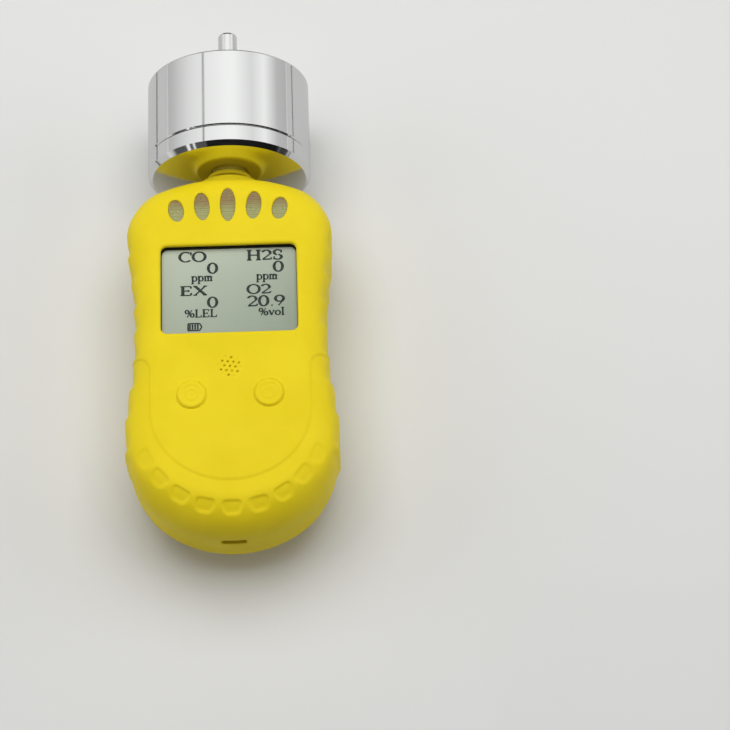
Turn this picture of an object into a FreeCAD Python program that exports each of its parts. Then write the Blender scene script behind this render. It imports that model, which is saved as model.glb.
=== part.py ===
import FreeCAD, Part
import math
import os

# Portable four-gas detector with a pumped sensor head.  Millimetres.
# It lies on its back: Y runs from the charging end to the hose nozzle, Z out of the front face.
# The origin is under the middle of the whole object, on the surface it lies on.

Vector = FreeCAD.Vector

# Overall size
LENGTH = 182.6
NOZZLE_TIP_Y = LENGTH / 2
BODY_END_Y = -LENGTH / 2
BODY_BACK_Z = 10.0
BODY_FRONT_Z = 44.0
PARTING_Z = 25.5

# Body outline seen from the front
BODY_TOP_Y = 32.2
TOP_ARC_R = 60.0
TOP_ARC_HALF_WIDTH = 23.0
BULGE_HALF_WIDTH = 34.3
BULGE_Y = -59.8
# Control points of the smooth side curve, between the top arc and the widest place
SIDE_POLES = [(32.6, 19.2), (34.3, 10.5), (31.2, -8.0), (30.9, -24.0), (31.7, -38.0)]
SIDE_START_LEG = 4.5
SIDE_END_LEG = 10.3

# Body skins, counted inwards from the outside of the boot
FRONT_EDGE_R = 10.0
BACK_EDGE_R = 8.6
BOOT_WALL = 2.0
COVER_SKIN = BOOT_WALL + 0.1
COVER_WALL = 1.8
CAVITY_SKIN = COVER_SKIN + COVER_WALL
COVER_FRONT_Z = BODY_FRONT_Z - COVER_SKIN
COVER_INSIDE_Z = BODY_FRONT_Z - CAVITY_SKIN
COVER_BACK_Z = BODY_BACK_Z + COVER_SKIN
FLOOR_Z = BODY_BACK_Z + CAVITY_SKIN

# Front panel, grip zone and dimples
GRIP_STEP = 0.35
GRIP_TOP_Y = -33.0
GRIP_TURN_R = 5.0
GRIP_LOW_Z = 36.0
PANEL_HALF_WIDTH = 25.4
PANEL_ARC_Y = -51.6
PANEL_ARC_DEPTH = 24.0
DIMPLE_LENGTH = 5.9
DIMPLE_WIDTH = 3.9
DIMPLE_DEPTH = 0.5
DIMPLES = [(0.0, -84.1, 0.0), (8.5, -83.1, 13.0), (16.2, -79.6, 33.0), (22.5, -74.1, 50.0),
           (27.0, -67.5, 65.0)]
SCALLOP_R = 12.0
SCALLOP_DEPTH = 0.45
SCALLOP_YS = [9.0, -0.2, -9.5, -18.5, -27.6, -37.6, -47.4, -58.0]

# Display
LCD_HALF_WIDTH = 21.8
LCD_TOP_Y = 4.8
LCD_LOW_Y = -25.6
LCD_CORNER_R = 2.0
WINDOW_TOP_Z = 41.6
WINDOW_LOW_Z = 41.05
WINDOW_LAP = 1.2
MODULE_LAP = 1.9
BEZEL_WALL = 0.6
LCD_PANE_TOP_Z = 40.9
LCD_PANE_GAP = 0.15
LCD_GLASS_TOP_Z = 39.3
LCD_GLASS_LOW_Z = 36.9
BACKLIGHT_LOW_Z = 34.9

# Alarm windows: middle X, middle Y, full height, lean in degrees
ALARM_WINDOWS = [(0.0, 19.3, 11.8, 0.0), (8.4, 18.8, 9.7, -5.0), (16.8, 17.5, 7.8, -10.0)]
ALARM_WINDOW_WIDTH = 4.7
LENS_GAP = 0.1
LENS_TOP_Z = 43.3
LIGHT_BAR_TOP_Z = 38.8

# Sounder
SOUNDER_Y = -37.7
SOUNDER_PITCH = 1.75
SOUNDER_HOLE_R = 0.42
SOUNDER_TURN = -8.5
BUZZER_R = 6.5

# Buttons
BUTTON_X = 12.2
BUTTON_Y = -47.1
BUTTON_R = 4.65
BUTTON_GAP = 0.1
BUTTON_TOP_Z = 45.0
BUTTON_LOW_Z = 43.0
PLUNGER_R = 2.2
STEM_TOP_Z = 37.4
STEM_R = 1.2

# Circuit board and charging port
BOARD_LOW_Z = 29.9
BOARD_TOP_Z = 31.5
BOARD_SCREWS = [(14.0, 10.35), (18.0, -58.0)]
PORT_HALF_WIDTH = 3.8
PORT_LOW_Z = 27.2
PORT_TOP_Z = 29.9
COVER_BOSSES = [(23.5, 13.8), (19.5, -72.0)]
BOSS_R = 2.8
BOARD_POST_R = 1.9
COVER_SCREW_R = 1.25
COVER_SCREW_HEAD_R = 2.4
BOARD_SCREW_R = 0.8
BOARD_SCREW_HEAD_R = 1.7

# Battery, vibration alarm and sampling pump
BATTERY_HALF_WIDTH = 17.0
BATTERY_LOW_Y = -58.0
BATTERY_TOP_Y = -8.0
BATTERY_LIFT = 1.0
BATTERY_HEIGHT = 8.4
TRAY_WALL = 1.6
VIBRATOR_X = 22.6
VIBRATOR_Z = 20.5
PUMP_Y = 11.5
PUMP_Z = 20.4
PUMP_CRANK_THROW = 2.2
PUMP_LID_Z = 25.6
PUMP_TUBE_X = 2.0
PUMP_TUBE_Z = 24.8
PUMP_TUBE_R = 1.2
PUMP_TUBE_BORE_R = 0.8
VENT_PLACE = (16.8, 18.8)
VENT_R = 1.6
VENT_FLANGE_R = 2.2
CABLE_X = -2.0
CABLE_Z = 27.8
CABLE_R = 1.3

# Sensor head, turned about an axis along Y
HEAD_Z = 27.0
HEAD_R = 27.0
HEAD_FACE_Y = 36.2
HEAD_CHAMFER = 1.5
SEAM_Y = 43.0
SEAM_GAP = 0.3
SEAM_LOW_EDGE = 0.25
SEAM_TOP_EDGE = 0.4
CAN_END_Y = 71.1
CAN_BORE_R = 25.0
CAN_END_WALL = 2.5
CAN_RIM_R = 0.8
SPIGOT_R = 24.9
SPIGOT_TOP_Y = 47.2
NOZZLE_R = 3.2
NOZZLE_BORE_R = 1.8
NOZZLE_SHANK_R = 3.0
NOZZLE_RELIEF = 0.3
NOZZLE_TIP_ROUND = 0.8
STEM_TUBE_R = 6.0
STEM_BORE_R = 4.2
STEM_LOW_Y = 23.0
NECK_R = 9.0
NECK_TOP_Y = HEAD_FACE_Y - 0.05
NECK_SEAL_R = 7.3
NECK_SEAL_Y = HEAD_FACE_Y - 0.6
COLLAR_R = 11.0
COLLAR_TOP_Y = 33.1
COLLAR_EDGE = 0.7
SENSOR_R = 10.1
SENSOR_OFFSET = 10.3
SENSOR_LOW_Y = 49.6
SENSOR_TOP_Y = 66.1
SENSOR_BOARD_THICK = 1.6
SOCKET_CIRCLE_R = 6.5
SOCKET_R = 1.2
GASKET_LOW_Y = 66.2
GASKET_TOP_Y = 66.9
FILTER_LOW_Y = 67.0
FILTER_TOP_Y = 67.3
RETAINER_LOW_Y = 67.4
RETAINER_TOP_Y = 68.6
NECK_NUT_LOW_Y = 23.8
NECK_NUT_THICK = 3.5
NECK_NUT_HALF_FLATS = 8.0

# Belt clip on the back
CLIP_PIVOT_Y = -4.0
CLIP_PIVOT_Z = 5.5
CLIP_PIN_R = 1.2
CLIP_PIN_GAP = 0.05
CLIP_SHEET = 1.3
CLIP_PAD = (12.0, -36.0, 6.0)
CLIP_EAR_GAP = 0.3
CLIP_HALF_WIDTH = 7.5
CLIP_JAW_Y = -46.0
CLIP_THUMB_Y = 14.0
CLIP_SCREW_R = 1.0
CLIP_SCREWS = [(0.0, -30.0), (-5.0, 1.0), (5.0, 1.0)]
CLIP_EAR_R = 3.5
LEVER_EAR_R = 2.8

os.makedirs("parts", exist_ok=True)


# --- small building blocks -------------------------------------------------------------------

def box(x0, x1, y0, y1, z0, z1):
    return Part.makeBox(x1 - x0, y1 - y0, z1 - z0, Vector(x0, y0, z0))


def post(x, y, z0, z1, r):
    return Part.makeCylinder(r, z1 - z0, Vector(x, y, z0), Vector(0, 0, 1))


def rod_y(x, z, y0, y1, r):
    return Part.makeCylinder(r, y1 - y0, Vector(x, y0, z), Vector(0, 1, 0))


def rod_x(y, z, x0, x1, r):
    return Part.makeCylinder(r, x1 - x0, Vector(x0, y, z), Vector(1, 0, 0))


def turned(profile, x=0.0, z=HEAD_Z):
    """Solid of revolution about a line along Y; the profile is a list of (y, radius)."""
    points = [Vector(x + r, y, z) for y, r in profile]
    face = Part.Face(Part.makePolygon(points + points[:1]))
    return face.revolve(Vector(x, 0, z), Vector(0, 1, 0), 360)


def edges_at_z(solid, z):
    return [e for e in solid.Edges if abs(e.BoundBox.ZMin - z) < 1e-4 and e.BoundBox.ZLength < 1e-4]


def upright_edges(solid):
    return [e for e in solid.Edges
            if e.BoundBox.XLength < 1e-4 and e.BoundBox.YLength < 1e-4]


def block(x0, x1, y0, y1, z0, z1, corner):
    """Box with its upright corners rounded."""
    solid = box(x0, x1, y0, y1, z0, z1)
    return solid.makeFillet(corner, upright_edges(solid))


def both_sides(points):
    return [(side * x, y) for x, y in points for side in (-1, 1)]


def fused(solids):
    return solids[0].multiFuse(solids[1:]).removeSplitter()


def save(name, shape):
    shape.exportStep("parts/" + name + ".step")


# --- the body's outline and skins -------------------------------------------------------------

def side_poles():
    """Control points of the right side; the first and last legs set its end directions."""
    start_y = BODY_TOP_Y - TOP_ARC_R + math.sqrt(TOP_ARC_R ** 2 - TOP_ARC_HALF_WIDTH ** 2)
    fall = math.asin(TOP_ARC_HALF_WIDTH / TOP_ARC_R)
    start = Vector(TOP_ARC_HALF_WIDTH, start_y, 0)
    return ([start, start + Vector(math.cos(fall), -math.sin(fall), 0) * SIDE_START_LEG]
            + [Vector(x, y, 0) for x, y in SIDE_POLES]
            + [Vector(BULGE_HALF_WIDTH, BULGE_Y + SIDE_END_LEG, 0),
               Vector(BULGE_HALF_WIDTH, BULGE_Y, 0)])


def inset_side(inset):
    """The side curve moved inwards: every leg between two control points moves by the inset."""
    poles = side_poles()
    legs = [(b - a).normalize() for a, b in zip(poles, poles[1:])]
    inward = [Vector(leg.y, -leg.x, 0) for leg in legs]
    before = inward[:1] + inward
    after = inward + inward[-1:]
    curve = Part.BSplineCurve()
    curve.buildFromPoles([pole + (m + n) * (inset / (1 + m.dot(n)))
                          for pole, m, n in zip(poles, before, after)])
    return curve


def outline_face(inset, z):
    side = inset_side(inset)
    start = side.StartPoint
    right = side.toShape()
    left = right.mirror(Vector(0, 0, 0), Vector(1, 0, 0))
    top = Part.Arc(Vector(-start.x, start.y, 0), Vector(0, BODY_TOP_Y - inset, 0), start).toShape()
    ellipse = Part.Ellipse(Vector(0, BULGE_Y, 0), BULGE_HALF_WIDTH - inset,
                           BULGE_Y - BODY_END_Y - inset)
    end = Part.ArcOfEllipse(ellipse, math.pi, 2 * math.pi).toShape()
    wire = Part.Wire(Part.__sortEdges__([top, right, end, left]))
    face = Part.Face(wire)
    face.translate(Vector(0, 0, z))
    return face


def outline_prism(inset, z0, z1):
    return outline_face(inset, z0).extrude(Vector(0, 0, z1 - z0))


def body_solid(inset):
    """Everything inside one skin of the body, with its rounded front and back edges."""
    low, high = BODY_BACK_Z + inset, BODY_FRONT_Z - inset
    solid = outline_prism(inset, low, high)
    solid = solid.makeFillet(FRONT_EDGE_R - inset, edges_at_z(solid, high))
    return solid.makeFillet(BACK_EDGE_R - inset, edges_at_z(solid, low))


SKIN = body_solid(0)
COVER_OUTSIDE = body_solid(COVER_SKIN)
CAVITY = body_solid(CAVITY_SKIN)


def half_width(y):
    line = Part.makeLine(Vector(0, y, 0), Vector(60, y, 0))
    return line.common(outline_face(0, 0)).Length


# --- openings that several shells share -------------------------------------------------------

def alarm_columns(gap, z0, z1):
    """The five elliptical alarm windows as upright columns."""
    columns = []
    for x, y, height, lean in ALARM_WINDOWS:
        for side in ((-1, 1) if x else (1,)):
            ellipse = Part.Ellipse(Vector(0, 0, 0), height / 2 + gap, ALARM_WINDOW_WIDTH / 2 + gap)
            face = Part.Face(Part.Wire(ellipse.toShape()))
            face.rotate(Vector(0, 0, 0), Vector(0, 0, 1), 90 + side * lean)
            face.translate(Vector(side * x, y, z0))
            columns.append(face.extrude(Vector(0, 0, z1 - z0)))
    return columns


def sounder_holes(z0, z1):
    """Thirteen holes: a hexagon of nineteen without its six corners."""
    holes = []
    row_step = SOUNDER_PITCH * math.sqrt(3) / 2
    for row in range(-2, 3):
        for place in range(5 - abs(row)):
            x = (place - (4 - abs(row)) / 2) * SOUNDER_PITCH
            y = row * row_step
            if math.hypot(x, y) < 1.9 * SOUNDER_PITCH:
                hole = post(x, y, z0, z1, SOUNDER_HOLE_R)
                hole.rotate(Vector(0, 0, 0), Vector(0, 0, 1), SOUNDER_TURN)
                hole.translate(Vector(0, SOUNDER_Y, 0))
                holes.append(hole)
    return holes


def display_opening(lap, z0, z1):
    return block(-LCD_HALF_WIDTH - lap, LCD_HALF_WIDTH + lap, LCD_LOW_Y - lap, LCD_TOP_Y + lap,
                 z0, z1, LCD_CORNER_R)


def port_slot(gap):
    """Slot through the end wall for the charging plug."""
    slot = box(-PORT_HALF_WIDTH - gap, PORT_HALF_WIDTH + gap, BODY_END_Y - 1, BODY_END_Y + 8,
               PORT_LOW_Z - gap, PORT_TOP_Z + gap)
    along = [e for e in slot.Edges if e.BoundBox.YLength > 5]
    return slot.makeFillet(0.6, along)


# --- boot -------------------------------------------------------------------------------------

def grip_zone():
    """Plan of the lower zone that lies one small step below the front panel."""
    u, top, low = PANEL_HALF_WIDTH, GRIP_TOP_Y, BODY_END_Y - 5
    wide = BULGE_HALF_WIDTH + 5
    turn = GRIP_TURN_R
    bend = Part.Arc(Vector(u, top - turn, 0),
                    Vector(u + turn * (1 - math.sqrt(0.5)), top - turn * (1 - math.sqrt(0.5)), 0),
                    Vector(u + turn, top, 0))
    ellipse = Part.Ellipse(Vector(0, PANEL_ARC_Y, 0), u, PANEL_ARC_DEPTH)
    bowl = Part.ArcOfEllipse(ellipse, 1.5 * math.pi, 2 * math.pi)
    corners = [Vector(u + turn, top, 0), Vector(wide, top, 0), Vector(wide, low, 0),
               Vector(0, low, 0), Vector(0, PANEL_ARC_Y - PANEL_ARC_DEPTH, 0)]
    edges = [bend.toShape(), bowl.toShape(),
             Part.makeLine(Vector(u, PANEL_ARC_Y, 0), Vector(u, top - turn, 0))]
    edges += [Part.makeLine(a, b) for a, b in zip(corners, corners[1:])]
    right = Part.Face(Part.Wire(Part.__sortEdges__(edges)))
    right.translate(Vector(0, 0, GRIP_LOW_Z))
    solid = right.extrude(Vector(0, 0, 12))
    return [solid, solid.mirror(Vector(0, 0, 0), Vector(1, 0, 0))]


def dimple_columns():
    columns = []
    for x, y, turn in DIMPLES:
        for side in ((-1, 1) if x else (1,)):
            column = block(-DIMPLE_LENGTH / 2, DIMPLE_LENGTH / 2, -DIMPLE_WIDTH / 2,
                           DIMPLE_WIDTH / 2, GRIP_LOW_Z, BODY_FRONT_Z + 2, DIMPLE_WIDTH / 2 - 0.3)
            column.rotate(Vector(0, 0, 0), Vector(0, 0, 1), side * turn)
            column.translate(Vector(side * x, y, 0))
            columns.append(column)
    return columns


def grip_scallops():
    tools = []
    for y in SCALLOP_YS:
        x = half_width(y) + SCALLOP_R - SCALLOP_DEPTH
        for side in (-1, 1):
            tools.append(post(side * x, y, BODY_BACK_Z + 5, BODY_FRONT_Z - 5, SCALLOP_R))
    return tools


def protective_boot():
    collar = turned([(20.0, 0), (20.0, COLLAR_R), (COLLAR_TOP_Y - COLLAR_EDGE, COLLAR_R),
                     (COLLAR_TOP_Y, COLLAR_R - COLLAR_EDGE), (COLLAR_TOP_Y, NECK_R),
                     (NECK_TOP_Y, NECK_R), (NECK_TOP_Y, NECK_SEAL_R + 0.05),
                     (NECK_SEAL_Y, NECK_SEAL_R + 0.05), (NECK_SEAL_Y, 0)])
    outside = SKIN.fuse(collar)
    panel = [tool.cut(body_solid(GRIP_STEP)) for tool in grip_zone()]
    dimples = [tool.cut(body_solid(GRIP_STEP + DIMPLE_DEPTH)) for tool in dimple_columns()]
    outside = outside.cut(panel + dimples + grip_scallops())
    pad_x, pad_y0, pad_y1 = CLIP_PAD
    tools = [body_solid(BOOT_WALL), rod_y(0, HEAD_Z, 20, HEAD_FACE_Y, STEM_TUBE_R + 0.1),
             display_opening(0, COVER_INSIDE_Z, BODY_FRONT_Z + 1), port_slot(0.1),
             block(-pad_x - 0.2, pad_x + 0.2, pad_y0 - 0.2, pad_y1 + 0.2, BODY_BACK_Z - 1,
                   COVER_BACK_Z, 3.2),
             post(*VENT_PLACE, BODY_BACK_Z - 1, COVER_BACK_Z, VENT_FLANGE_R + 0.2)]
    tools += alarm_columns(LENS_GAP, COVER_INSIDE_Z, BODY_FRONT_Z + 1)
    tools += sounder_holes(COVER_INSIDE_Z, BODY_FRONT_Z + 1)
    tools += [post(side * BUTTON_X, BUTTON_Y, COVER_INSIDE_Z, BODY_FRONT_Z + 1,
                   BUTTON_R + BUTTON_GAP) for side in (-1, 1)]
    return outside.cut(tools)


# --- hard covers ------------------------------------------------------------------------------

def seal_ring(grow):
    ring = outline_prism(COVER_SKIN + 0.6 - grow, PARTING_Z - 0.5 - grow, PARTING_Z + 0.5 + grow)
    hole = outline_prism(COVER_SKIN + 1.2 + grow, PARTING_Z - 1, PARTING_Z + 1)
    passage = box(-STEM_TUBE_R - 1, STEM_TUBE_R + 1, 20, BODY_TOP_Y, PARTING_Z - 1, PARTING_Z + 1)
    return ring.cut([hole, passage])


def front_cover():
    shell = COVER_OUTSIDE.cut([CAVITY, box(-50, 50, -100, 50, 0, PARTING_Z)])
    bosses = [post(x, y, PARTING_Z, COVER_INSIDE_Z + 0.5, BOSS_R) for x, y in both_sides(COVER_BOSSES)]
    bosses += [post(x, y, BOARD_TOP_Z, COVER_INSIDE_Z + 0.5, BOARD_POST_R)
               for x, y in both_sides(BOARD_SCREWS)]
    tools = [seal_ring(0), rod_y(0, HEAD_Z, 20, 40, STEM_TUBE_R + 0.1), port_slot(0.2),
             display_opening(0, COVER_INSIDE_Z - 1, COVER_FRONT_Z + 1),
             display_opening(WINDOW_LAP + 0.1, WINDOW_LOW_Z, COVER_FRONT_Z + 1),
             display_opening(MODULE_LAP + BEZEL_WALL + 0.1, PARTING_Z + 1, COVER_INSIDE_Z),
             post(0, SOUNDER_Y, COVER_INSIDE_Z - 1, COVER_FRONT_Z + 1, 4.6),
             post(0, SOUNDER_Y, COVER_FRONT_Z - 0.4, COVER_FRONT_Z + 1, 5.6)]
    tools += alarm_columns(LENS_GAP, LIGHT_BAR_TOP_Z - 1, BODY_FRONT_Z)
    tools += [post(side * BUTTON_X, BUTTON_Y, COVER_INSIDE_Z - 1, COVER_FRONT_Z + 1,
                   PLUNGER_R + BUTTON_GAP) for side in (-1, 1)]
    tools += [post(x, y, PARTING_Z - 1, PARTING_Z + 9, COVER_SCREW_R)
              for x, y in both_sides(COVER_BOSSES)]
    tools += [post(x, y, BOARD_TOP_Z - 1, BOARD_TOP_Z + 6, BOARD_SCREW_R)
              for x, y in both_sides(BOARD_SCREWS)]
    return shell.multiFuse(bosses).cut(tools)


def rear_cover():
    shell = COVER_OUTSIDE.cut([CAVITY, box(-50, 50, -100, 50, PARTING_Z, 60)])
    pad_x, pad_y0, pad_y1 = CLIP_PAD
    pad = block(-pad_x, pad_x, pad_y0, pad_y1, BODY_BACK_Z, COVER_BACK_Z + 1, 3.0)
    bosses = [post(x, y, COVER_BACK_Z + 1, PARTING_Z, BOSS_R) for x, y in both_sides(COVER_BOSSES)]
    tools = [seal_ring(0), rod_y(0, HEAD_Z, 20, 40, STEM_TUBE_R + 0.1),
             post(*VENT_PLACE, BODY_BACK_Z, FLOOR_Z + 1, VENT_R)]
    tools += [post(x, y, COVER_BACK_Z - 1, PARTING_Z + 1, COVER_SCREW_R + 0.1)
              for x, y in both_sides(COVER_BOSSES)]
    tools += [post(x, y, COVER_BACK_Z - 1, COVER_BACK_Z + 2, COVER_SCREW_HEAD_R + 0.1)
              for x, y in both_sides(COVER_BOSSES)]
    tools += [post(x, y, BODY_BACK_Z - 1, BODY_BACK_Z + 3, CLIP_SCREW_R) for x, y in CLIP_SCREWS]
    return shell.multiFuse([pad] + bosses).cut(tools)


def cover_screws():
    screws = []
    for x, y in both_sides(COVER_BOSSES):
        head = post(x, y, COVER_BACK_Z + 0.1, COVER_BACK_Z + 2, COVER_SCREW_HEAD_R)
        socket = post(x, y, COVER_BACK_Z, COVER_BACK_Z + 1.2, COVER_SCREW_HEAD_R / 2)
        shank = post(x, y, COVER_BACK_Z + 2, PARTING_Z + 7, COVER_SCREW_R)
        screws.append(head.fuse(shank).cut(socket))
    return Part.makeCompound(screws)


# --- display, alarm windows and sounder -------------------------------------------------------

def lcd_window():
    return display_opening(WINDOW_LAP, WINDOW_LOW_Z, WINDOW_TOP_Z)


def lcd_gasket():
    ring = display_opening(MODULE_LAP - 0.1, LCD_GLASS_TOP_Z, COVER_INSIDE_Z)
    return ring.cut(display_opening(0.5, LCD_GLASS_TOP_Z - 1, COVER_INSIDE_Z + 1))


def lcd_module():
    """Two glass plates: the upper one fills the display opening, the lower one has the ledge."""
    ledge = display_opening(MODULE_LAP, LCD_GLASS_LOW_Z, LCD_GLASS_TOP_Z)
    return ledge.fuse(display_opening(-LCD_PANE_GAP, LCD_GLASS_TOP_Z - 0.5, LCD_PANE_TOP_Z))


def lcd_backlight():
    return display_opening(MODULE_LAP, BACKLIGHT_LOW_Z, LCD_GLASS_LOW_Z)


def lcd_bezel():
    lap = MODULE_LAP + BEZEL_WALL
    frame = display_opening(lap, BACKLIGHT_LOW_Z, LCD_GLASS_TOP_Z)
    frame = frame.cut(display_opening(MODULE_LAP, BACKLIGHT_LOW_Z - 1, LCD_GLASS_TOP_Z + 1))
    legs = []
    for x0 in (-LCD_HALF_WIDTH - lap, LCD_HALF_WIDTH + lap - BEZEL_WALL):
        legs += [box(x0, x0 + BEZEL_WALL, y, y + 4, BOARD_TOP_Z, BACKLIGHT_LOW_Z + 1)
                 for y in (-22, -2)]
    return fused([frame] + legs)


def light_guide():
    columns = alarm_columns(0, LIGHT_BAR_TOP_Z - 1, LENS_TOP_Z)
    bar = block(-19.6, 19.6, 13.2, 21.8, LIGHT_BAR_TOP_Z - 2, LIGHT_BAR_TOP_Z, 3.0)
    return fused([bar] + columns)


def alarm_leds():
    leds = []
    for x, y, height, lean in ALARM_WINDOWS:
        for side in ((-1, 1) if x else (1,)):
            leds.append(block(side * x - 1.4, side * x + 1.4, 16.0, 19.0, BOARD_TOP_Z,
                              BOARD_TOP_Z + 1.6, 0.3))
    return Part.makeCompound(leds)


def buzzer():
    can = post(0, SOUNDER_Y, BOARD_TOP_Z, COVER_INSIDE_Z - 1.2, BUZZER_R)
    return can.cut(post(0, SOUNDER_Y, COVER_INSIDE_Z - 2.4, COVER_INSIDE_Z, 1.3))


def buzzer_gasket():
    ring = post(0, SOUNDER_Y, COVER_INSIDE_Z - 1.2, COVER_INSIDE_Z, BUZZER_R)
    return ring.cut(post(0, SOUNDER_Y, COVER_INSIDE_Z - 2, COVER_INSIDE_Z + 1, 4.8))


def buzzer_membrane():
    return post(0, SOUNDER_Y, COVER_FRONT_Z - 0.4, COVER_FRONT_Z, 5.5)


# --- buttons ----------------------------------------------------------------------------------

def button(side):
    x = side * BUTTON_X
    cap = post(x, BUTTON_Y, BUTTON_LOW_Z, BUTTON_TOP_Z, BUTTON_R)
    cap = cap.makeFillet(0.6, edges_at_z(cap, BUTTON_TOP_Z))
    plunger = post(x, BUTTON_Y, STEM_TOP_Z, BUTTON_LOW_Z, PLUNGER_R)
    return cap.fuse(plunger).removeSplitter()


def switch_body(side):
    x = side * BUTTON_X
    case = block(x - 3, x + 3, BUTTON_Y - 3, BUTTON_Y + 3, BOARD_TOP_Z, BOARD_TOP_Z + 3.5, 0.3)
    return case.cut(post(x, BUTTON_Y, BOARD_TOP_Z + 0.8, BOARD_TOP_Z + 4, STEM_R + 0.06))


def switch_stem(side):
    return post(side * BUTTON_X, BUTTON_Y, BOARD_TOP_Z + 1.8, STEM_TOP_Z, STEM_R)


# --- electronics ------------------------------------------------------------------------------

def main_board():
    wide = box(-27, 27, -64, 6, BOARD_LOW_Z, BOARD_TOP_Z)
    long = box(-18, 18, -83.2, 20.2, BOARD_LOW_Z, BOARD_TOP_Z)
    plan = wide.fuse(long).common(outline_prism(CAVITY_SKIN + 0.6, BOARD_LOW_Z, BOARD_TOP_Z))
    holes = [post(x, y, BOARD_LOW_Z - 1, BOARD_TOP_Z + 1, BOSS_R + 0.3)
             for x, y in both_sides(COVER_BOSSES)]
    holes += [post(x, y, BOARD_LOW_Z - 1, BOARD_TOP_Z + 1, BOARD_SCREW_R + 0.1)
              for x, y in both_sides(BOARD_SCREWS)]
    return plan.cut(holes).removeSplitter()


def board_screws():
    screws = []
    for x, y in both_sides(BOARD_SCREWS):
        head = post(x, y, BOARD_LOW_Z - 1.2, BOARD_LOW_Z, BOARD_SCREW_HEAD_R)
        shank = post(x, y, BOARD_LOW_Z, BOARD_TOP_Z + 5, BOARD_SCREW_R)
        screws.append(head.fuse(shank).removeSplitter())
    return Part.makeCompound(screws)


def board_components():
    chips = [box(-7, 7, -22, -8, BOARD_TOP_Z, BOARD_TOP_Z + 1.4),
             box(12, 19, -20, -13, BOARD_TOP_Z, BOARD_TOP_Z + 1.2),
             box(-19, -13, -6, 0, BOARD_TOP_Z, BOARD_TOP_Z + 1.2),
             box(-4, 5, -66, -58, BOARD_TOP_Z, BOARD_TOP_Z + 1.4),
             box(-12, -6, -76, -70, BOARD_LOW_Z - 2, BOARD_LOW_Z),
             box(6, 13, -74, -68, BOARD_LOW_Z - 2, BOARD_LOW_Z),
             box(-5, 0.3, 14, 22, BOARD_LOW_Z - 3.2, BOARD_LOW_Z)]
    return Part.makeCompound(chips)


def usb_port():
    shell = box(-PORT_HALF_WIDTH, PORT_HALF_WIDTH, -88.6, -82.6, PORT_LOW_Z, PORT_TOP_Z)
    mouth = box(-PORT_HALF_WIDTH + 0.3, PORT_HALF_WIDTH - 0.3, -89, -83.0,
                PORT_LOW_Z + 0.3, PORT_TOP_Z - 0.3)
    return shell.cut(mouth)


def usb_tongue():
    return box(-2.4, 2.4, -88.0, -83.0, 28.6, 29.2)


def battery_cell():
    low = FLOOR_Z + BATTERY_LIFT
    return block(-BATTERY_HALF_WIDTH, BATTERY_HALF_WIDTH, BATTERY_LOW_Y, BATTERY_TOP_Y,
                 low, low + BATTERY_HEIGHT, 2.0)


def battery_holder():
    half = BATTERY_HALF_WIDTH + TRAY_WALL
    tray = block(-half, half, BATTERY_LOW_Y - TRAY_WALL, BATTERY_TOP_Y + TRAY_WALL,
                 FLOOR_Z, FLOOR_Z + 6, 3.0)
    return tray.cut(battery_cell())


def sensor_cable():
    return rod_y(CABLE_X, CABLE_Z, 22, SPIGOT_TOP_Y, CABLE_R)


def vibration_motor():
    case = rod_y(VIBRATOR_X, VIBRATOR_Z, -30, -19, 3.2)
    return case.cut(rod_y(VIBRATOR_X, VIBRATOR_Z, -31, -26, 0.55))


def vibration_weight():
    """Eccentric disc: a little more than its lower half, on a thin shaft."""
    disc = rod_y(VIBRATOR_X, VIBRATOR_Z, -34, -30.6, 2.9)
    half = disc.cut(box(VIBRATOR_X - 5, VIBRATOR_X + 5, -35, -30, VIBRATOR_Z + 0.4, 25))
    return half.fuse(rod_y(VIBRATOR_X, VIBRATOR_Z, -34, -27, 0.5)).removeSplitter()


# --- sampling pump ----------------------------------------------------------------------------

def pump_motor():
    case = rod_x(PUMP_Y, PUMP_Z, -20.2, -11.5, 5.6)
    return case.cut(rod_x(PUMP_Y, PUMP_Z, -14, -11, 0.85))


def pump_crank():
    disc = rod_x(PUMP_Y, PUMP_Z, -10.8, -9.2, 4.0)
    shaft = rod_x(PUMP_Y, PUMP_Z, -13.5, -10.8, 0.8)
    crank_pin = rod_x(PUMP_Y + PUMP_CRANK_THROW, PUMP_Z, -9.2, -7.4, 0.8)
    return fused([disc, shaft, crank_pin])


def pump_head():
    body = box(-6.8, 9, 4.5, 19, FLOOR_Z, PUMP_LID_Z)
    lid = block(-5, 7, 5.5, 17.5, PUMP_LID_Z, PUMP_LID_Z + 0.9, 1.0)
    return fused([body, lid])


def pump_tube():
    tube = rod_y(PUMP_TUBE_X, PUMP_TUBE_Z, 19, SPIGOT_TOP_Y, PUMP_TUBE_R)
    return tube.cut(rod_y(PUMP_TUBE_X, PUMP_TUBE_Z, 18, SPIGOT_TOP_Y + 1, PUMP_TUBE_BORE_R))


def exhaust_vent():
    plug = post(*VENT_PLACE, COVER_BACK_Z, FLOOR_Z, VENT_R)
    flange = post(*VENT_PLACE, BODY_BACK_Z + 1.2, COVER_BACK_Z, VENT_FLANGE_R)
    x, y = VENT_PLACE
    holes = [post(x + 1.1 * math.cos(a), y + 1.1 * math.sin(a), BODY_BACK_Z, FLOOR_Z + 1, 0.3)
             for a in (math.pi / 2, math.pi * 7 / 6, math.pi * 11 / 6)]
    return fused([flange, plug]).cut(holes)


# --- sensor head ------------------------------------------------------------------------------

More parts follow.
